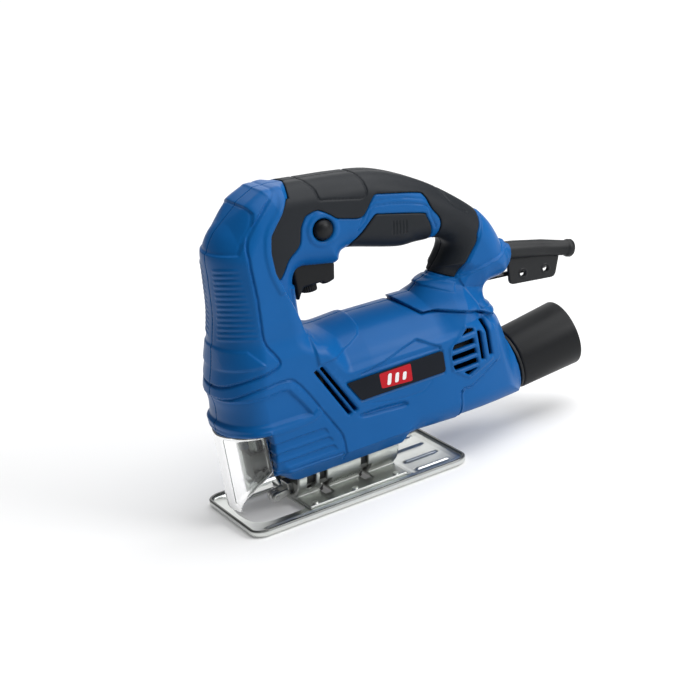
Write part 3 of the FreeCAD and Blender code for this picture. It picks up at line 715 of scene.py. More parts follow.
SILHOUETTE = outline(
    [(-61, 18.5), (-61, 48)],
    [(-61, 48), (-62.4, 57), (-61.8, 65), (-62.2, 71), (-60.2, 79), (-57.4, 88), (-54.8, 98), (-51.2, 114), (-49.6, 133), (-48.7, 146), (-43.8, 155), (-35.6, 161.9), (-26, 168.5), (-16, 173.2)],
    [(-16, 173.4), (-6, 173.1)],
    [(-6, 173.1), (14, 170.5), (30, 168.4), (51, 164.4), (70, 155.9), (85.4, 145.9), (101.9, 132), (111, 121.8), (116.4, 110.4), (118.2, 101), (119, 97)],
    [(119, 97), (117.4, 91.6), (113.5, 89.6)],
    [(113.5, 89.6), (105, 88.6), (100.6, 84.8), (98.2, 79.6), (101.5, 75.4), (105.6, 71), (107.6, 66.5), (110.2, 56)],
    [(110.2, 56), (114.6, 19)],
    [(114.6, 19), (36.5, 22.3)],
    [(36.5, 22.3), (34, 18.5)],
    [(34, 18.5), (-61, 18.5)],
)
HAND_LOOP = outline(
    [(-8.4, 103), (-7.6, 119), (-5.2, 125.6), (-1, 127)],
    [(-1, 127), (17.5, 123.2)],
    [(17.5, 123.2), (20.6, 124.6), (22.4, 128.4), (26, 129.6)],
    [(26, 129.6), (31, 128.6), (55, 121.8), (69, 120.4), (81, 119), (86, 114.6), (82.4, 107.4), (73.4, 98.8), (62, 91.2)],
    [(62, 91.2), (20, 92.9)],
    [(20, 92.9), (2, 92.2), (-6.2, 93.6), (-8.6, 98.4), (-8.4, 103)],
)
HEAD = [
    (-90, 200), (-4, 200), (-4.5, 175), (-6.5, 168), (-12, 160.6), (-20, 152), (-22, 144), (-22, 133.7),
    (-19.5, 124.5), (-15.5, 114), (-13, 106), (-11, 98), (-6, 88), (-2, 70), (-90, 70),
]
BODY = [(-90, 0), (130, 0), (130, 74), (104, 82), (78, 92), (60, 96), (-2, 96), (-14, 97), (-90, 99)]
STRUT = [(62, 128), (58, 92), (78, 78), (104, 74), (134, 82), (134, 130)]
MAIN_RUBBER = outline(
    [(-5.2, 182), (-4.6, 176), (-4.6, 168)],
    [(-4.6, 168), (-10.6, 160.2), (-18.4, 151.3), (-20.4, 143.9), (-20.8, 133.7), (-19.6, 128), (-17.4, 126.4), (-14.2, 129.4), (-10.2, 135.3), (-3.1, 141), (-0.4, 149.8), (2.9, 154.9)],
    [(2.9, 154.9), (10.1, 156.2), (16.7, 151.8), (20, 149.1), (26, 147.2)],
    [(26, 147.2), (32.5, 145.6), (36.5, 147), (42.8, 154.4), (45.7, 155.1)],
    [(45.7, 155.1), (68, 149.4), (72.5, 146.6), (75.4, 138.6), (78.7, 133.3), (79.7, 128), (78.8, 123), (76.6, 117)],
    [(76.6, 117), (80, 112), (77, 106), (64, 106.5)],
    [(64, 106.5), (84.5, 95.8)],
    [(84.5, 95.8), (95.6, 108.4), (99.4, 113), (100.4, 117)],
    [(100.4, 117), (104.2, 123), (106, 133)],
    [(106, 133), (60, 190)],
    [(60, 190), (-5.2, 182)],
)
LOWER_PAD = outline(
    [(24.5, 127), (27.5, 133)],
    [(27.5, 133), (40.8, 143.9), (43.6, 144.8)],
    [(43.6, 144.8), (68.8, 138.2), (71.4, 136.2)],
    [(71.4, 136.2), (74.6, 125.5), (74.4, 112)],
    [(74.4, 112), (24.5, 112)],
    [(24.5, 112), (24.5, 127)],
)
SEAM = flowing([(-9.4, 178), (-11.4, 173), (-19, 167), (-28.4, 159), (-34.2, 151.6), (-35.6, 142), (-35.9, 124), (-37.2, 106), (-36.6, 99), (-33.2, 92.6), (-31.7, 88.4), (-33.6, 86.2), (-38, 84.9), (-44, 83.8), (-51, 82), (-57, 79.4), (-61, 77.6), (-66, 76.8)])
ARCH = flowing([(-66, 70.4), (-58, 73), (-48, 76.8), (-36, 78.1), (-29, 78), (-24.9, 75.2), (-19.5, 66.8), (-12.5, 53.4), (-6.6, 42.4), (-4.6, 36.5), (-4.4, 26)])
SCREWS = [(-31, 150, 17), (33, 138, 12), (78, 130, 12), (104, 116, 12), (101, 68, 15), (-28, 51, 25), (4, 51, 26.5)]


@dataclass
class Housing:
    """One half of the moulded housing with its soft grip layer."""

    side: Side
    step: float = 0.5
    half: float = 31.0
    wall: float = 2.4
    skin: float = 1.5
    proud: float = 0.25
    saddle_axis: float = 23.0
    port: Point3 = (114.4, 0.0, 36.0)
    port_rise: float = math.radians(6.6)
    cord: Point3 = (121.0, 0.0, 98.0)
    cord_drop: float = math.radians(14.0)
    lock: Point2 = (11.3, 145.5)

    def __post_init__(self) -> None:
        """Lays out the half's grid, drawn as the left half, and its drawing of the side view."""
        self.grid = Grid((-66, -34, 15), (125, 0, 179), self.step)
        self.view = Drawing(self.grid.x, self.grid.z)
        self.depth = -self.grid.y

    def half_width(self) -> Array:
        """The flat side's distance from the middle plane, over the side view."""
        x, z = self.grid.x, self.grid.z
        head = 1 - ease(self.view.shape(HEAD), -1.6, 2.2)
        body = 1 - ease(self.view.shape(BODY), -9, 3.5)
        strut = 1 - ease(self.view.shape(STRUT), -6, 6)
        head_width = 28.2 - 0.055 * np.maximum(z - 108, 0) - 0.0016 * np.maximum(z - 128, 0) ** 2
        width = 17.0 + (15.4 - 17.0) * strut
        width = width + (head_width - width) * head
        bevel = 0.947 * np.maximum(28 - z, 0) * (1 - ease(x, 33, 40))
        body_width = self.half - bevel - 0.004 * np.maximum(x - 66, 0) ** 2
        width = width + (body_width - width) * body
        rounding = 1.2 * ease(np.abs(z - 64), 12, 40) * body
        return width - rounding

    def edge_sizes(self) -> Tuple[Array, Array]:
        """How far the rounding of the outline reaches, in the side view and across."""
        x, z = self.grid.x, self.grid.z
        low = 1 - ease(z, 70, 96)
        in_view, across = 12.5 - 4.0 * low, 12.0 - 3.0 * low
        places = (
            (1 - ease(x, -46, -24), 20.0, 30.0),
            (ease(z, 62, 74) * (1 - ease(z, 98, 104)) * ease(x, -6, 8) * (1 - ease(x, 88, 102)), 29.0, 29.5),
            (ease(x, 88, 104) * low, 15.0, 17.0),
            ((1 - ease(z, 36, 54)) * ease(x, 34, 42), 13.0, 16.0),
            ((1 - ease(z, 30, 44)) * (1 - ease(x, 32, 36)) * ease(x, -42, -30), 1.6, 1.6),
        )
        for share, view_size, across_size in places:
            in_view = in_view + (view_size - in_view) * share
            across = across + (across_size - across) * share
        return in_view, across

    def body_field(self) -> Array:
        """The outer surface without its carved details."""
        wide = Drawing(self.grid.x, self.grid.z, 34.0)
        inward = -np.maximum(wide.shape(SILHOUETTE), -wide.shape(HAND_LOOP))
        in_view, across = self.edge_sizes()
        width = self.half_width()
        across = np.minimum(across, width - 1)
        u = np.maximum(in_view - inward, 0) / in_view
        v = np.maximum(self.depth - (width - across), 0) / across
        reach = np.sqrt(u * u + v * v)
        slope = np.sqrt((u / in_view) ** 2 + (v / across) ** 2) / np.maximum(reach, 1e-4)
        field = np.where(reach > 0.05, (reach - 1) / np.maximum(slope, 1e-3), -8.0)
        under_nose = np.maximum(self.grid.x + 44.6 - 0.03 * (self.grid.z - 20), self.grid.z - 50.8 - 0.06 * self.depth)
        return blend_max(field, -under_nose, 1.0)

    def port_point(self, distance: float) -> Point3:
        """A point on the dust port's axis."""
        return (self.port[0] + distance * math.cos(self.port_rise), 0.0, self.port[2] + distance * math.sin(self.port_rise))

    def cord_point(self, distance: float) -> Point3:
        """A point on the cord entry's axis."""
        return (self.cord[0] + distance * math.cos(self.cord_drop), 0.0, self.cord[2] - distance * math.sin(self.cord_drop))

    def head_details(self) -> Array:
        """Carving of the head and the nose, over the side view."""
        view = self.view
        panel = [(-90, 147.4), (-39.4, 147.4), (-36, 152.5), (-29.5, 159.6), (-26.4, 164.8), (-29.5, 171.5), (-34, 182), (-90, 182)]
        front = [(-90, 178), (-14, 178)] + SEAM + [(-90, 78)]
        pointed = [(-57, 99), (-45.6, 98.2), (-39, 89.6), (-39, 88.2), (-58.5, 86.6)]
        arch = [(-90, 70), (-33.5, 74.4), (-29.2, 73.4), (-23, 64), (-17.6, 54.6), (-28, 55.6), (-90, 57)]
        rim = flowing([(-9, 178), (-8.4, 170), (-12.4, 163.4), (-20.6, 155.4), (-24, 147), (-24.4, 135), (-21.6, 124)])
        lip = flowing([(-66, 52.2), (-46, 53.4)])
        carve = view.groove(SEAM, 1.7, 1.0) + view.groove(ARCH, 1.6, 0.95)
        carve = carve - view.groove(rim, 6.0, 0.8) - view.groove(lip + [(-45, 53.4)], 3.4, 0.8)
        carve = carve - 0.35 * (1 - ease(view.shape(front), -1.4, -0.2))
        carve = carve + view.step(panel, 0.9, 0.9) + view.groove(panel + [panel[0]], 1.6, 1.0)
        carve = carve - view.step(pointed, 1.6, 0.7)
        return (carve + view.step(arch, 2.2, 1.6)) * (1 - 0.75 * ease(self.grid.z, 166, 172))

    def skirt_details(self) -> Array:
        """Carving of the ledges low on the gear case."""
        view, z = self.view, self.grid.z
        carve = np.zeros((1, 1, 1), dtype=np.float32)
        for low, high, end in ((41.8, 46.6, -13.2), (36.6, 40.8, -11.2), (31.4, 35.6, -9.6)):
            ledge = [(-60, low), (end + 1.6, low), (end, high - 1), (end - 1.4, high), (-60, high)]
            slope = 0.25 + 0.9 * np.clip((z - low) / (high - low), 0, 1)
            carve = carve + view.step(ledge, 0.8, 1.0) * slope
        brow = flowing([(-66, 56.5), (-50, 53.6), (-34, 52.6), (-20, 53.8), (-15, 57)])
        carve = carve - view.groove(brow, 5.0, 0.6)
        shelf = [(-47, 29.6), (-20, 29.2), (-6, 28.6), (-5, 24)]
        return carve + view.groove(shelf, 1.6, 0.7)

    def motor_details(self) -> Array:
        """Carving of the motor housing's side."""
        view = self.view
        facet = [(-3, 66.4), (22.5, 70.4), (48, 76.2), (57, 70.6), (61, 68.8), (60, 66.4), (4, 67.2)]
        bulge = [(-12, 79.5), (4, 80.4), (12, 82.8), (18.6, 85.6), (21.6, 89), (22.6, 96), (22, 120), (-12, 120)]
        strut_base = [(37, 106), (47, 95), (57.6, 85.4), (66, 84.9), (80, 81.2), (93, 75.6), (99, 72), (124, 84), (124, 104), (88, 97), (62, 99)]
        scoop = flowing([(5, 47.4), (18, 47.8), (33, 46.4), (36.4, 44), (34.4, 41.6), (22, 42.4), (8, 43.8), (5, 47.4)])
        tail = [(91.8, 75), (95.6, 68), (95.4, 50), (76, 40.8), (70, 40.6), (68, 37.6), (66.8, 12), (130, 12), (130, 75)]
        hexagon = [(77, 75.6), (91, 73.4), (91.8, 50.4), (74, 44.6), (63.6, 52.4), (63.8, 65.8)]
        mount = [(0.6, 67.0), (61.4, 67.2), (60.8, 52.4), (8.6, 52.6)]
        carve = view.step(facet, 1.4, 1.2) - view.step(bulge, 1.8, 1.2)
        carve = carve - view.step(strut_base, 1.1, 1.7) + view.step(scoop, 3.0, 2.4)
        carve = carve + view.step(tail, 1.6, 1.0) - view.step(hexagon, 1.6, 0.7)
        carve = carve + view.step(mount, 1.0, 0.6)
        carve = carve + view.groove(flowing([(14.5, 51), (30, 47.9), (44.9, 47.4), (51.5, 51.4)]), 1.2, 0.35)
        carve = carve + view.groove(flowing([(66.8, 18), (67.8, 37), (70, 40.6), (76, 40.8), (93, 48.6)]), 1.7, 1.1)
        return carve + view.groove([(47, 94), (57.6, 85.4), (66, 84.9), (80, 81.2), (93, 75.6)], 1.6, 0.9)

    def handle_details(self) -> Array:
        """Carving of the blue parts of the handle and the strut."""
        view = self.view
        band = flowing([(30.5, 139.4), (36, 143), (43.2, 149.4), (70.6, 142.4), (74, 134.6), (76.6, 128)], 3)
        band_high = flowing([(32.5, 142.4), (43.4, 152), (70.6, 145.4), (74.6, 137.4)], 3)
        collar = [(54, 104.6), (66, 103.4), (84, 94), (80.4, 89.6), (62, 97.4), (54, 98)]
        strip = [(85, 95.4), (96, 108), (100, 113), (104.8, 122), (108, 134), (140, 130), (140, 70), (92, 78)]
        carve = view.groove(band, 1.1, 0.5) + view.groove(band_high, 1.0, 0.4)
        carve = carve - view.step(collar, 1.0, 0.9) - view.step(strip, 1.0, 0.7)
        carve = carve + view.groove([(86.4, 91.2), (100, 86.4)], 1.0, 0.4)
        ring = view.spot(self.lock, 9.4)
        carve = carve - 0.8 * (1 - ease(ring, -1.4, 0.6)) * ease(view.spot(self.lock, 6.6), -0.8, 0.4)
        return carve

    def nose_ribs(self) -> Array:
        """The lens-shaped grip ribs round the head's front."""
        x, z = self.grid.x, self.grid.z
        turn = np.degrees(np.arctan2(self.depth, np.maximum(-34.0 - x, 0.01)))
        rise = z + 0.24 * (x + 48) - 0.18 * (self.depth - 20)
        pitch, first, count = 2.85, 103.6, 14
        number = np.clip(np.round((rise - first) / pitch), 0, count - 1)
        off = np.abs(rise - first - number * pitch)
        middle = 47.0
        spread = 33.0 - 0.5 * number
        lens = np.sqrt(np.maximum(1 - ((turn - middle) / spread) ** 2, 0))
        height = 0.55 * lens * (1 - ease(off, 0.3, 0.3 + 0.95 * lens + 0.01))
        return -height * (x < -33.5)

    def vents(self) -> Array:
        """Signed distance, in the side view, to the air slots."""
        slots = [
            [(-14.2, 77.4), (-12.2, 78), (2.6, 49.4), (0.8, 48.4)],
            [(-10.6, 78.4), (-8.8, 78.9), (6.4, 50.2), (4.6, 49.2)],
            [(73.6, 70), (77.6, 72.8), (82, 71.2), (81.6, 70)],
            [(66.4, 63.6), (68.2, 66.6), (80.6, 66.6), (80.6, 63.6)],
            [(65.8, 58), (65.8, 61), (80.8, 61), (80.8, 58)],
            [(66.6, 52.4), (65.6, 55.4), (80.8, 55.4), (80.8, 52.4)],
            [(74.4, 47.2), (71.6, 49.8), (80.6, 49.8)],
            [(83.6, 53.2), (83.6, 69.4), (85.8, 68.8), (85.8, 52.6)],
            [(89.2, 53.8), (89.2, 73), (91.4, 72.4), (91.4, 53.4)],
        ]
        best = self.view.shape(slots[0])
        for slot in slots[1:]:
            best = np.minimum(best, self.view.shape(slot))
        return best

    def hollow(self, outside: Array) -> Array:
        """The shell: walls, posts, and the openings for the mechanism."""
        grid, view = self.grid, self.view
        recess = np.maximum(grid.rod((-31.5, 0, self.saddle_axis), (32.5, 0, self.saddle_axis), 20.5), grid.z - 36.6)
        blade = grid.box((-80, -31), (-22, 22), (-10, 47))
        cavity = np.maximum(np.maximum(outside + self.wall, 2.0 - recess), 2.0 - blade)
        shell = np.maximum(outside, -cavity)
        for x, z, seat in SCREWS:
            shell = np.minimum(shell, np.maximum(view.spot((x, z), 5.0), outside))
        cuts = [recess, blade]
        cuts.append(grid.rod((-43, 0, 40), (-43, 0, 62), 6.0))
        cuts.append(grid.box((-6.6, 18.8), (-8.9, 8.9), (100, 134.5), 0.6))
        cuts.append(np.maximum(self.vents(), 19.0 - self.depth))
        cuts.append(grid.rod(self.port_point(-17), self.port_point(8), 14.8))
        cuts.append(grid.rod(self.cord_point(-16), self.cord_point(8), 5.45))
        if self.side is Side.LEFT:
            cuts.append(np.maximum(view.spot(self.lock, 5.9), 14.4 - self.depth))
            cuts.append(view.spot(self.lock, 3.9) + 0 * self.depth)
        else:
            for x, z, seat in SCREWS:
                cuts.append(np.maximum(view.spot((x, z), 3.4), seat - self.depth))
        for cut in cuts:
            shell = blend_max(shell, -cut, 0.5)
        return np.maximum(shell, 0.04 - self.depth)

    def rubber_details(self) -> Array:
        """Carving of the soft layer: its thin seams and the pad's small ribs."""
        view = self.view
        seams = [
            flowing([(6.5, 180), (8, 173), (11.4, 167), (12.4, 161.4), (16, 160.3), (30, 157)]),
            flowing([(30, 157), (36, 155.6), (39.6, 158), (39.4, 164.6), (36.4, 170), (34, 178)]),
            flowing([(84, 150), (88, 138), (97, 130.5)]),
        ]
        carve = sum(view.groove(seam, 1.2, 0.55) for seam in seams)
        for number in range(5):
            x = 50.6 + 1.9 * number
            carve = carve + view.groove([(x, 131.4 - 0.25 * number), (x + 0.8, 138.6 - 0.4 * number)], 1.1, 0.5)
        return carve

    def build(self) -> List[bpy.types.Object]:
        """Meshes the half and its soft layer, mirrored for the right side."""
        grid, view = self.grid, self.view
        base = self.body_field()
        tube = np.maximum(grid.rod(self.port_point(-30), self.port_point(-1.2), 18.2), 18.8 - grid.z)
        boss = grid.rod(self.cord_point(-14), self.cord_point(-0.8), 6.8)
        base = blend_min(blend_min(base, tube, 5.0), boss, 2.0)
        rubber_area = np.minimum(view.shape(MAIN_RUBBER), view.shape(LOWER_PAD))
        crest = 0.8 - 0.33 * self.depth - grid.x - 3 * np.maximum(166.5 - grid.z, 0)
        rubber_area = np.maximum(rubber_area, crest)
        rims = 0.7 * (1 - ease(self.vents(), 0.0, 1.0))
        carved = base + self.head_details() + self.skirt_details() + self.motor_details()
        carved = carved + self.handle_details() + self.nose_ribs() + rims
        bed = self.skin * (1 - ease(rubber_area, -0.25, 0.35))
        shell = self.hollow(carved + bed)
        name = self.side.name.lower()
        housing = grid.mesh(name + "_housing_shell", shell)
        skin = blend_max(base + self.rubber_details() - self.proud, rubber_area + 0.15, 0.9)
        skin = np.maximum(skin, -(base + self.skin - 0.12))
        trigger_gap = grid.box((-6.6, 18.8), (-8.9, 8.9), (100, 134.5), 0.6)
        skin = np.maximum(np.maximum(skin, 0.04 - self.depth), -trigger_gap)
        if self.side is Side.RIGHT:
            for x, z, seat in SCREWS:
                skin = np.maximum(skin, 3.4 - np.hypot(grid.x - x, grid.z - z))
        soft = grid.mesh(name + "_soft_grip", skin)
        if self.side is Side.RIGHT:
            for piece in (housing, soft):
                piece.data.transform(Matrix.Diagonal((1, -1, 1, 1)))
                piece.data.flip_normals()
        return [housing, soft]

    def dress(self) -> None:
        """Paints both pieces and lets them stand for the CAD ones."""
        housing, soft = self.build()
        name = self.side.name.lower()
        finish_piece(housing, "housing", "blue_shell", [name + "_housing"])
        finish_piece(soft, "housing", "soft_grip", [name + "_grip"])


# ------------------------------------------------------------------ smaller pieces


@dataclass
class SignPlate:
    """The plain sign on each side of the motor housing, with a red tile and slanted bars."""

    side: Side
    face: float = 30.9
    thick: float = 0.55
    corners: Tuple[Point2, ...] = ((2.6, 65.7), (9.2, 54.2), (59.8, 54.0), (60.6, 55.4), (60.6, 64.8), (59.8, 65.8))
    tile: Tuple[Point2, ...] = ((21.4, 65.2), (21.6, 56.8), (40.2, 55.4), (40.6, 65.2))

    def plate(self, name: str, corners: Sequence[Point2], low: float, high: float) -> bpy.types.Object:
        """A thin plate with a softened edge.

        Args:
            name: Its name.
            corners: Its outline in the side view.
            low: The inner face's distance from the middle plane.
            high: The outer face's distance.

        Returns:
            The plate.
        """
        sign = self.side.value
        edge = rounded(corners, 1.0)
        middle = np.mean(np.array(edge), axis=0)
        inner = [tuple(middle + (np.array(point) - middle) * 0.988) for point in edge]
        rings = [(edge, low), (edge, high - 0.12), (inner, high)]
        places, faces = [], []
        for points, depth in rings:
            places.extend((x * MM, sign * depth * MM, z * MM) for x, z in points)
        count = len(edge)
        for level in range(len(rings) - 1):
            for index in range(count):
                after = (index + 1) % count
                low_row, high_row = level * count, (level + 1) * count
                faces.append((low_row + index, low_row + after, high_row + after, high_row + index))
        faces.append(tuple(reversed(range(count))))
        faces.append(tuple(range(2 * count, 3 * count)))
        piece = solid(name, places, faces)
        crisp(piece, 25)
        return piece

    def dress(self) -> None:
        """Builds the plate, its tile and its bars."""
        name = self.side.name.lower()
        top = self.face + self.thick
        plate = self.plate(name + "_sign", self.corners, self.face - 0.6, top)
        finish_piece(plate, "housing", "sign_plate", [name + "_badge"])
        tile = self.plate(name + "_sign_tile", self.tile, top - 0.05, top + 0.06)
        finish_piece(tile, "housing", "sign_plate", finish="sign_red")
        for number in range(3):
            x = 25.0 + 4.6 * number
            tall = 6.0 - 0.9 * number
            bar = [(x, 57.6), (x + 2.2, 57.5), (x + 2.2 + 0.28 * tall, 57.6 + tall), (x + 0.28 * tall, 57.7 + tall)]
            stripe = self.plate(f"{name}_sign_bar_{number + 1}", bar, top, top + 0.1)
            finish_piece(stripe, "housing", "sign_plate", finish="sign_white")


@dataclass
class Sole:
    """The pressed base plate, and the angle marks on the saddle."""

    half_length: float = 65.0
    half_width: float = 34.0
    corner: float = 8.0
    rim: float = 4.0
    sheet: float = 2.0

    def plan(self, view: Drawing, inset: float) -> Array:
        """Distance to the plate's outline, drawn in from its edge."""
        across = np.abs(view.across) - (self.half_length - self.corner)
        up = np.abs(view.up) - (self.half_width - self.corner)
        outside = np.hypot(np.maximum(across, 0), np.maximum(up, 0))
        return outside + np.minimum(np.maximum(across, up), 0) - self.corner + inset

    def build(self) -> bpy.types.Object:
        """Meshes the plate."""
        grid = Grid((-67, -36, -1), (67, 36, 6), 0.4)
        x, y, z = grid.x, grid.y, grid.z
        flat = Drawing(grid.x, np.swapaxes(grid.y, 1, 2))
        edge = np.swapaxes(self.plan(flat, 0.0), 1, 2)
        outer = blend_max(edge, -z, 2.4)
        outer = blend_max(outer, z - self.rim, 0.7)
        channel = 0.6 * ease(np.abs(y), 25.4, 27.0) * (1 - ease(np.abs(y), 30.0, 31.4)) * ease(x, -58, -54)
        dish = 0.35 * ease(x, 33.5, 35.5) * (1 - ease(x, 59.5, 61.5))
        ribs = sum(1 - ease(np.abs(np.abs(y) - place), 0.8, 2.0) for place in (8.0, 22.0))
        floor = self.sheet - channel - dish + 1.0 * ribs * ease(x, 36, 39) * (1 - ease(x, 56, 59))
        tray = blend_max(edge + 1.7, floor - z, 1.6)
        plate = blend_max(outer, -tray, 0.5)
        hole = Drawing(grid.x, np.swapaxes(grid.y, 1, 2))
        opening = outline(
            [(-29, -20), (-47, -20)],
            [(-47, -20), (-53.5, -18), (-57.6, -12.5), (-59, 0), (-57.6, 12.5), (-53.5, 18), (-47, 20)],
            [(-47, 20), (-29, 20)],
            [(-29, 20), (-29, -20)],
        )
        cut = np.swapaxes(hole.shape(opening), 1, 2)
        plate = blend_max(plate, -cut, 0.7)
        for place in (-12.0, 12.0):
            plate = np.maximum(plate, -grid.box((place - 4.5, place + 4.5), (-11.5, 11.5), (-9, 9), 1.0))
        return grid.mesh("pressed_sole", plate)

    def marks(self) -> bpy.types.Object:
        """The engraved angle marks along the saddle's flank."""
        places, faces = [], []
        for number in range(17):
            x = -9.5 + 1.15 * number
            tall = 3.0 if number % 5 == 0 else 1.8
            for side in (-1, 1):
                start = len(places)
                for height in (0.0, tall):
                    angle = math.radians(38.0) + height / 20.0
                    for shift in (-0.16, 0.16):
                        for radius in (19.9, 20.04):
                            y = side * radius * math.sin(angle)
                            z = 23.0 - radius * math.cos(angle)
                            places.append(((x + shift) * MM, y * MM, z * MM))
                quads = ((0, 1, 3, 2), (4, 6, 7, 5), (0, 4, 5, 1), (2, 3, 7, 6), (1, 5, 7, 3), (0, 2, 6, 4))
                faces.extend(tuple(start + corner for corner in quad) for quad in quads)
        return solid("saddle_angle_marks", places, faces)

    def dress(self) -> None:
        """Builds the plate and the marks."""
        finish_piece(self.build(), "base", "pressed_steel", ["base_plate"], "sole_steel")
        finish_piece(self.marks(), "base", "dark_steel")


@dataclass
class Saddle:
    """The half-round trough on the sole, with rounded edges and a swept foot."""

    radius: float = 20.0
    sheet: float = 2.0
    axis: float = 23.0

    def build(self) -> bpy.types.Object:
        """Meshes the saddle."""
        grid = Grid((-32, -26, 1.5), (33, 26, 22.5), 0.4)
        x, y, z = grid.x, grid.y, grid.z
        away = np.hypot(y, z - self.axis) + 0 * x
        trough = np.abs(away - (self.radius - self.sheet / 2)) - self.sheet / 2
        trough = blend_max(trough, z - 21.0, 0.8)
        trough = blend_max(trough, np.maximum(-30.0 - x, x - 31.0), 0.8)
        foot = grid.box((-28.5, 31), (-24.5, 24.5), (2.0, 3.6), 0.6)
        foot = np.maximum(foot, self.radius - 1 - away)
        saddle = blend_min(trough, foot, 3.0)
        saddle = np.maximum(saddle, self.radius - self.sheet - away)
        saddle = np.maximum(saddle, 2.0 - z)
        cuts = []
        for place, width in ((-22.0, 2.6), (-15.0, 2.0), (10.0, 2.0)):
            slot = np.hypot(np.maximum(12.0 - z, 0), x - place) - width + 0 * y
            cuts.append(np.maximum(slot, np.where(z > 12, np.abs(x - place) - width, -9)))
        for place in (-12.0, 12.0):
            cuts.append(grid.box((place - 2.3, place + 2.3), (-16.2, 16.2), (-5, 12.5), 0.5))
            cuts.append(grid.box((place - 4.5, place + 4.5), (-11.5, 11.5), (-5, 3.3), 0.3))
        for cut in cuts:
            saddle = blend_max(saddle, -cut, 0.5)
        return grid.mesh("tilt_saddle_pressing", saddle)

    def dress(self) -> None:
        """Builds the saddle."""
        finish_piece(self.build(), "base", "pressed_steel", ["tilt_saddle"], "saddle_steel")


@dataclass
class ChipGuard:
    """The clear guard round the blade."""

    centre: float = -32.7
    radius: float = 29.8
    thick: float = 1.6

    def build(self) -> bpy.types.Object:
        """Meshes the guard."""
        grid = Grid((-63.5, -28.5, 5.5), (-44, 28.5, 54), 0.4)
        view = Drawing(grid.x, grid.z)
        away = np.hypot(grid.x - self.centre, grid.y)
        shell = np.abs(away - (self.radius - self.thick / 2)) - self.thick / 2
        side = outline(
            [(-64, 54), (-45.4, 54)],
            [(-45.4, 54), (-45.6, 30.5)],
            [(-45.6, 30.5), (-53.5, 22.5)],
            [(-53.5, 22.5), (-57.6, 16.6), (-59.8, 12), (-60.8, 6.6)],
            [(-60.8, 6.6), (-64, 6.6)],
            [(-64, 6.6), (-64, 54)],
        )
        edge = np.maximum(view.shape(side), grid.z - 50.6 - 0.06 * np.abs(grid.y))
        ribbed = shell - 0.5 * (1 - ease(np.abs(edge + 1.2), 0.4, 1.2))
        return grid.mesh("clear_chip_guard", blend_max(ribbed, edge, 0.9))

    def dress(self) -> None:
        """Builds the guard."""
        finish_piece(self.build(), "guard", "clear_guard", ["chip_guard"])


@dataclass
class Adaptor:
    """The flared hose adaptor and its seal."""

    start: Point3 = (114.4, 0.0, 36.0)
    rise: float = math.radians(6.6)

    def dress(self) -> None:
        """Turns both pieces on the port's axis."""
        along = (math.cos(self.rise), 0.0, math.sin(self.rise))
        tube = [
            (-16, 14.45), (0.6, 14.45), (0.6, 16.9), (1.4, 17.7), (35.4, 18.7), (37.6, 18.8), (38.3, 18.3),
            (38.3, 16.6), (37.6, 16.0), (17, 16.0), (17, 12.6), (-16, 12.6),
        ]
        adaptor = turned("flared_adaptor", rounded(tube, 0.5), self.start, along, 128)
        finish_piece(adaptor, "adaptor", "black_plastic", ["dust_adaptor"])
        ring = rounded([(-1.1, 14.5), (-1.1, 17.2), (0.5, 17.2), (0.5, 14.5)], 0.4)
        finish_piece(turned("joint_seal", ring, self.start, along, 128), "housing", "black_rubber", ["port_seal"])


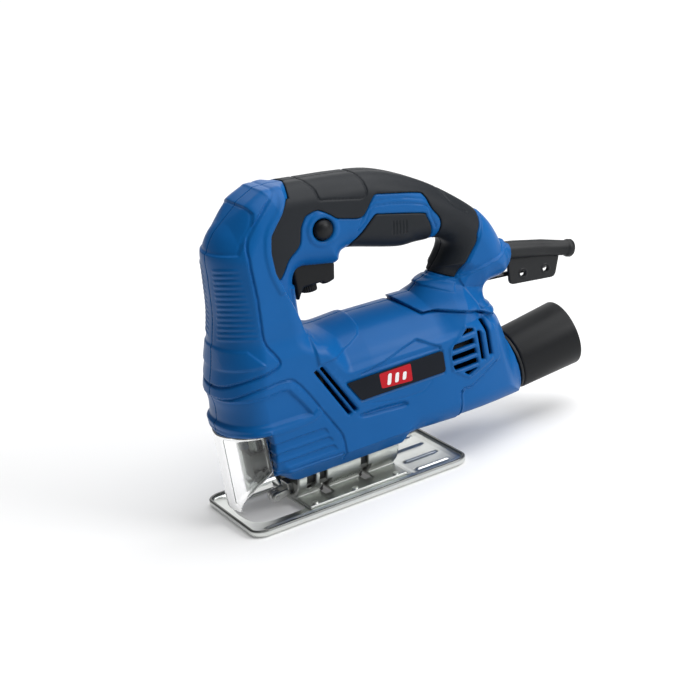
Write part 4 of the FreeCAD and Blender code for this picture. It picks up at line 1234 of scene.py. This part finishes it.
@dataclass
class CordSleeve:
    """The drooping rubber sleeve and the key tab under it."""

    start: Point3 = (121.0, 0.0, 98.0)
    length: float = 46.0
    key_start: Point3 = (106.5, 3.4, 84.9)
    key_drop: float = math.radians(5.6)
    key_length: float = 44.5
    first_drop: float = 9.0
    last_drop: float = 19.0

    def centre_line(self, low: float, high: float, count: int) -> List[Point3]:
        """Points along the drooping axis."""
        line = []
        for index in range(count):
            distance = low + (high - low) * index / (count - 1)
            share = max(distance, 0.0) / self.length
            drop = math.radians(self.first_drop + (self.last_drop - self.first_drop) * share / 2)
            line.append((self.start[0] + distance * math.cos(drop), 0.0, self.start[2] - distance * math.sin(drop)))
        return line

    def sleeve(self) -> bpy.types.Object:
        """A bent tube with a collar at its end."""
        outside = [(-13, 7), (-10.4, 7), (-10.2, 5.3), (0, 5.35), (8, 5.2), (26, 4.75), (41.6, 4.25), (42.3, 4.7), (43.0, 5.0), (45.2, 5.05), (46, 4.5)]
        stations = outside + [(46, 3.6), (45.2, 3.5), (-13, 3.5)]
        places, faces = [], []
        segments = 48
        for distance, radius in stations:
            before, here, after = self.centre_line(distance - 1, distance + 1, 3)
            along = (Vector(after) - Vector(before)).normalized()
            up = Vector((0, 1, 0)).cross(along).normalized()
            for turn in range(segments):
                angle = 2 * math.pi * turn / segments
                out = Vector((0, 1, 0)) * math.cos(angle) + up * math.sin(angle)
                places.append((Vector(here) + out * radius) * MM)
        count = len(stations)
        for level in range(count):
            above = (level + 1) % count
            for turn in range(segments):
                after = (turn + 1) % segments
                faces.append((level * segments + turn, level * segments + after, above * segments + after, above * segments + turn))
        piece = solid("drooping_sleeve", places, faces)
        crisp(piece, 40)
        return piece

    def key_point(self, distance: float) -> Point3:
        """A point on the key's long arm, from its free end."""
        x, y, z = self.key_start
        return (x + distance * math.cos(self.key_drop), y, z - distance * math.sin(self.key_drop))

    def tab(self) -> bpy.types.Object:
        """The thin rounded tab with two loops behind it for the key."""
        grid = Grid((121, -8, 71), (160, 8, 101), 0.35)
        view = Drawing(grid.x, grid.z)
        corners = rounded([(123.2, 77.7), (152.4, 74.0), (157.2, 86), (157, 93), (124.4, 97)], 2.8, 5)
        plate = blend_max(view.shape(corners), np.abs(grid.y) - 1.25, 0.9)
        for distance in (19.0, 33.0):
            loop = grid.rod(self.key_point(distance), self.key_point(distance + 4), 2.9)
            plate = blend_min(plate, np.maximum(loop, 0.6 - grid.y), 0.8)
        line = self.centre_line(0, self.length, 9)
        for low, high in zip(line[:-1], line[1:]):
            plate = np.maximum(plate, -grid.rod(low, high, 4.3))
        for x, z in ((132.3, 82.0), (147.0, 80.5)):
            hole = np.hypot(grid.x - x, grid.z - z)
            plate = blend_max(plate, np.maximum(1.6 - hole, grid.y - 1.4), 0.5)
            plate = np.minimum(plate, np.maximum(np.maximum(np.abs(hole - 2.4) - 0.5, np.abs(grid.y) - 1.6), grid.y - 1.2))
        return grid.mesh("key_tab", np.maximum(plate, -grid.rod(self.key_point(-10), self.key_point(70), 1.55)))

    def key(self) -> bpy.types.Object:
        """The bent hex key."""
        bend = 3.2
        end = Vector(self.key_point(self.key_length))
        along = (end - Vector(self.key_start)).normalized()
        away = Vector((0, 1, 0))
        path: List[Point3] = [self.key_start, self.key_point(20), self.key_point(self.key_length - bend)]
        for index in range(1, 7):
            angle = math.radians(15 * index)
            path.append(tuple(end + along * (bend * (math.sin(angle) - 1)) + away * (bend * (1 - math.cos(angle)))))
        path.append(tuple(end + away * 14))
        hexagon = [(1.4 * math.cos(math.radians(60 * k)), 1.4 * math.sin(math.radians(60 * k))) for k in range(6)]
        return swept("bent_hex_key", path, hexagon)

    def dress(self) -> None:
        """Builds the sleeve, its tab and the key."""
        finish_piece(self.sleeve(), "housing", "black_rubber", ["strain_relief"])
        finish_piece(self.tab(), "housing", "black_rubber", ["key_holder"])
        finish_piece(self.key(), "key", "dark_steel", ["hex_key"], "blackened_steel")


@dataclass
class Controls:
    """The trigger, its speed dial and the lock button."""

    half: float = 8.5
    dial: Point2 = (4.2, 0.0)
    lock: Point2 = (11.3, 145.5)

    def trigger(self) -> bpy.types.Object:
        """The trigger, rounded where a finger rests."""
        grid = Grid((-9, -11.5, 109), (21, 11.5, 135), 0.35)
        view = Drawing(grid.x, grid.z)
        side = outline(
            [(-6.2, 132), (-6.2, 109.8)],
            [(-6.2, 109.8), (-4.9, 109.7)],
            [(-4.9, 109.7), (-3.4, 112.4), (-1.4, 115.3)],
            [(-1.4, 115.3), (9.5, 115.2)],
            [(9.5, 115.2), (9.9, 113.9)],
            [(9.9, 113.9), (13, 113.8), (16.8, 114.8)],
            [(16.8, 114.8), (18.2, 122.5)],
            [(18.2, 122.5), (18.2, 132)],
            [(18.2, 132), (-6.2, 132)],
        )
        lever = blend_max(view.shape(side), np.abs(grid.y) - self.half, 2.2)
        flange = grid.box((-7.7, 19.8), (-10, 10), (131.9, 134), 0.4)
        pin = grid.rod((*self.dial, 108), (*self.dial, 121), 1.08)
        return grid.mesh("finger_trigger", np.maximum(np.minimum(lever, flange), -pin))

    def wheel(self) -> bpy.types.Object:
        """The knurled thumb wheel with its pin."""
        grid = Grid((-1.4, -5.6, 110), (9.8, 5.6, 121.5), 0.2)
        dx, dy = grid.x - self.dial[0], grid.y - self.dial[1]
        teeth = 0.2 * np.cos(24 * np.arctan2(dy, dx))
        wheel = blend_max(np.hypot(dx, dy) - 4.5 - teeth, np.abs(grid.z - 112.6) - 2.0, 0.5)
        pin = np.maximum(np.hypot(dx, dy) - 1.0, np.abs(grid.z - 117.5) - 3.5)
        return grid.mesh("thumb_wheel", np.minimum(wheel, pin))

    def button(self) -> bpy.types.Object:
        """The domed button on its stem."""
        dome = [(7.9, 0.0), (7.8, 1.6), (7.3, 3.2), (6.5, 4.4), (5.6, 5.1), (4.6, 5.4)]
        stem = [(4.2, 5.4), (4.2, 3.6), (0.9, 3.6), (0.9, 4.6), (0.0, 4.6), (0.0, 0.0)]
        profile = [(distance, radius) for distance, radius in dome + stem]
        return turned("lock_dome", profile, (self.lock[0], -12.5, self.lock[1]), (0, -1, 0), 64)

    def dress(self) -> None:
        """Builds the controls."""
        finish_piece(self.trigger(), "trigger", "black_plastic", ["trigger"])
        finish_piece(self.wheel(), "dial", "black_plastic", ["speed_dial"])
        finish_piece(self.button(), "lock", "black_plastic", ["lock_button"])


@dataclass
class PlungerBush:
    """The bronze guide of the plunger's upper end."""

    centre: Point3 = (-43.0, 0.0, 113.0)

    def dress(self) -> None:
        """Builds the bush, a block with rounded ears and a bore."""
        x, y, z = self.centre
        grid = Grid((x - 7, -16, z - 5), (x + 8, 16, z + 5), 0.4)
        block = grid.box((x - 4.5, x + 6.5), (-13.5, 13.5), (z - 4, z + 4), 1.2)
        bore = grid.rod((x, y, z - 6), (x, y, z + 6), 3.3)
        finish_piece(grid.mesh("plunger_bush", blend_max(block, -bore, 0.5)), "housing", "bronze", ["upper_bush"])


@dataclass
class GearPlate:
    """The plate behind the reduction gear, its top corners cut to clear the neck."""

    motor: float = 64.0
    gear: float = 92.0

    def dress(self) -> None:
        """Builds the plate with its bearing seat and bores."""
        grid = Grid((-14, -25, 49), (-1, 25, 104), 0.4)
        plate = grid.box((-12.8, -10.2), (-24, 24), (56, 103), 0.5)
        plate = np.maximum(plate, 0.7071 * (np.abs(grid.y) + grid.z - 113))
        plate = np.minimum(plate, grid.rod((-10.4, 0, self.motor), (-2.5, 0, self.motor), 13.5))
        bores = ((-20.0, self.motor, 6.0), (-9.5, self.motor, 11.0), (-20.0, self.gear, 3.1))
        for start, height, radius in bores:
            plate = np.maximum(plate, -grid.rod((start, 0, height), (0, 0, height), radius))
        slot = next(part["material_slot"] for part in frame["record"]["subparts"] if part["node"] == "gearbox_plate")
        finish_piece(grid.mesh("gear_plate", plate), "housing", slot, ["gearbox_plate"])


@dataclass
class BladeGuide:
    """The grooved roller behind the blade and its fork."""

    centre: Point3 = (-37.5, 0.0, 6.0)

    def dress(self) -> None:
        """Builds the roller and the fork."""
        x, y, z = self.centre
        wheel = [(-2.4, 1.06), (-2.4, 3.1), (-2.0, 3.5), (-0.8, 3.5), (-0.5, 2.9), (0.5, 2.9), (0.8, 3.5), (2.0, 3.5), (2.4, 3.1), (2.4, 1.06)]
        roller = turned("grooved_roller", wheel, self.centre, (0, 1, 0), 64)
        finish_piece(roller, "roller", "machined_steel", ["guide_roller"])
        grid = Grid((-41, -6, 2.5), (-27.5, 6, 13), 0.25)
        view = Drawing(grid.x, grid.z)
        side = outline([(-37.5, 3.7), (-28, 6.2)], [(-28, 6.2), (-28, 9)], [(-28, 9), (-37, 8.4), (-39.6, 7), (-39.6, 4.9), (-37.5, 3.7)])
        cheeks = blend_max(view.shape(side), np.abs(np.abs(grid.y) - 3.65) - 0.85, 0.6)
        back = grid.box((-31, -28), (-4.5, 4.5), (6.2, 12), 0.5)
        pin_hole = 1.0 - np.hypot(grid.x - x, grid.z - z)
        fork = np.maximum(np.minimum(cheeks, back), pin_hole)
        finish_piece(grid.mesh("roller_fork", fork), "housing", "pressed_steel", ["roller_arm"])


@dataclass
class CaseScrews:
    """The cross-headed screws of the housing."""

    def dress(self) -> None:
        """Builds each screw's head and shank as one piece per screw."""
        for number, (x, z, seat) in enumerate(SCREWS):
            grid = Grid((x - 3.6, -9, z - 3.6), (x + 3.6, seat + 3, z + 3.6), 0.3)
            away = np.hypot(grid.x - x, grid.z - z)
            head = blend_max(away - 3.1, np.abs(grid.y - seat - 1.1) - 1.1, 0.8)
            shank = np.maximum(away - 1.45 - 0.12 * np.cos(2 * math.pi * grid.y / 1.2), np.maximum(-8 - grid.y, grid.y - seat))
            cross = np.minimum(grid.box((x - 1.9, x + 1.9), (seat + 0.9, seat + 4), (z - 0.4, z + 0.4)), grid.box((x - 0.4, x + 0.4), (seat + 0.9, seat + 4), (z - 1.9, z + 1.9)))
            screw = np.maximum(np.minimum(head, shank), -cross)
            piece = grid.mesh(f"case_screw_{number + 1}", screw)
            finish_piece(piece, "housing", "dark_steel", ["housing_screws"] if number == 0 else [])


# ------------------------------------------------------------------ studio


@dataclass
class Studio:
    """The pale floor, the soft lights and the camera."""

    azimuth: float = math.radians(-23.599)
    elevation: float = math.radians(19.361)
    roll: float = math.radians(10.44)
    distance: float = 1.106685
    lens: float = 105.92
    target: Point3 = (0.02133, 0.0, 0.07123)

    def camera(self) -> None:
        """Stands the camera round the target, rolled as held."""
        back = Vector((
            math.sin(self.azimuth) * math.cos(self.elevation),
            -math.cos(self.azimuth) * math.cos(self.elevation),
            math.sin(self.elevation),
        ))
        right = Vector((math.cos(self.azimuth), math.sin(self.azimuth), 0.0))
        up = back.cross(right)
        across = right * math.cos(self.roll) - up * math.sin(self.roll)
        above = up * math.cos(self.roll) + right * math.sin(self.roll)
        data = bpy.data.cameras.new("camera")
        data.lens = self.lens
        data.sensor_width = 36.0
        data.clip_end = 100.0
        camera = bpy.data.objects.new("camera", data)
        turn = Matrix((across, above, back)).transposed().to_4x4()
        camera.matrix_world = Matrix.Translation(Vector(self.target) + back * self.distance) @ turn
        bpy.context.scene.collection.objects.link(camera)
        bpy.context.scene.camera = camera

    def light(self, name: str, place: Point3, size: float, power: float, aim: Point3 = (0.02, 0, 0.08)) -> None:
        """A square soft light that faces a point."""
        data = bpy.data.lights.new(name, "AREA")
        data.shape = "SQUARE"
        data.size = size
        data.energy = power
        lamp = bpy.data.objects.new(name, data)
        facing = (Vector(aim) - Vector(place)).to_track_quat("-Z", "Y")
        lamp.matrix_world = Matrix.Translation(place) @ facing.to_matrix().to_4x4()
        bpy.context.scene.collection.objects.link(lamp)

    def floor(self) -> None:
        """A broad pale floor that curves up far away."""
        places, faces = [], []
        rows, reach = 24, 12.0
        for row in range(rows + 1):
            for column in range(rows + 1):
                x = reach * (2 * column / rows - 1)
                y = reach * (2 * row / rows - 1)
                far = max(math.hypot(x, y) - 8.0, 0.0)
                places.append((x, y, -0.0002 + 0.1 * far * far))
        for row in range(rows):
            for column in range(rows):
                low = row * (rows + 1) + column
                faces.append((low, low + 1, low + rows + 2, low + rows + 1))
        floor = solid("studio_floor", places, faces)
        floor.data.materials.append(Paper("studio_floor", (0.78, 0.78, 0.78)).material())

    def world(self) -> None:
        """Even pale light from all round."""
        world = bpy.data.worlds.new("studio")
        world.use_nodes = True
        background = world.node_tree.nodes["Background"]
        background.inputs["Color"].default_value = (0.93, 0.96, 1.0, 1)
        background.inputs["Strength"].default_value = 0.09
        bpy.context.scene.world = world
        bpy.context.scene.view_settings.view_transform = "Standard"

    def dress(self) -> None:
        """Sets up everything."""
        self.camera()
        self.floor()
        self.world()
        self.light("top", (1.3, -0.2, 2.8), 3.8, 148, (0.7, -0.1, 0))
        self.light("key", (1.2, -1.5, 1.1), 0.8, 24)
        self.light("back", (0.8, 1.9, 0.85), 1.4, 7)


def main() -> None:
    """Builds every piece in order and reports it."""
    logging.basicConfig(level=logging.INFO, format="%(name)s: %(message)s")
    Studio().dress()
    PAINTS.dress_frame()
    for side in (Side.LEFT, Side.RIGHT):
        Housing(side).dress()
        SignPlate(side).dress()
    Sole().dress()
    Saddle().dress()
    ChipGuard().dress()
    Adaptor().dress()
    CordSleeve().dress()
    Controls().dress()
    BladeGuide().dress()
    PlungerBush().dress()
    GearPlate().dress()
    CaseScrews().dress()


if __name__ == "__main__":
    main()
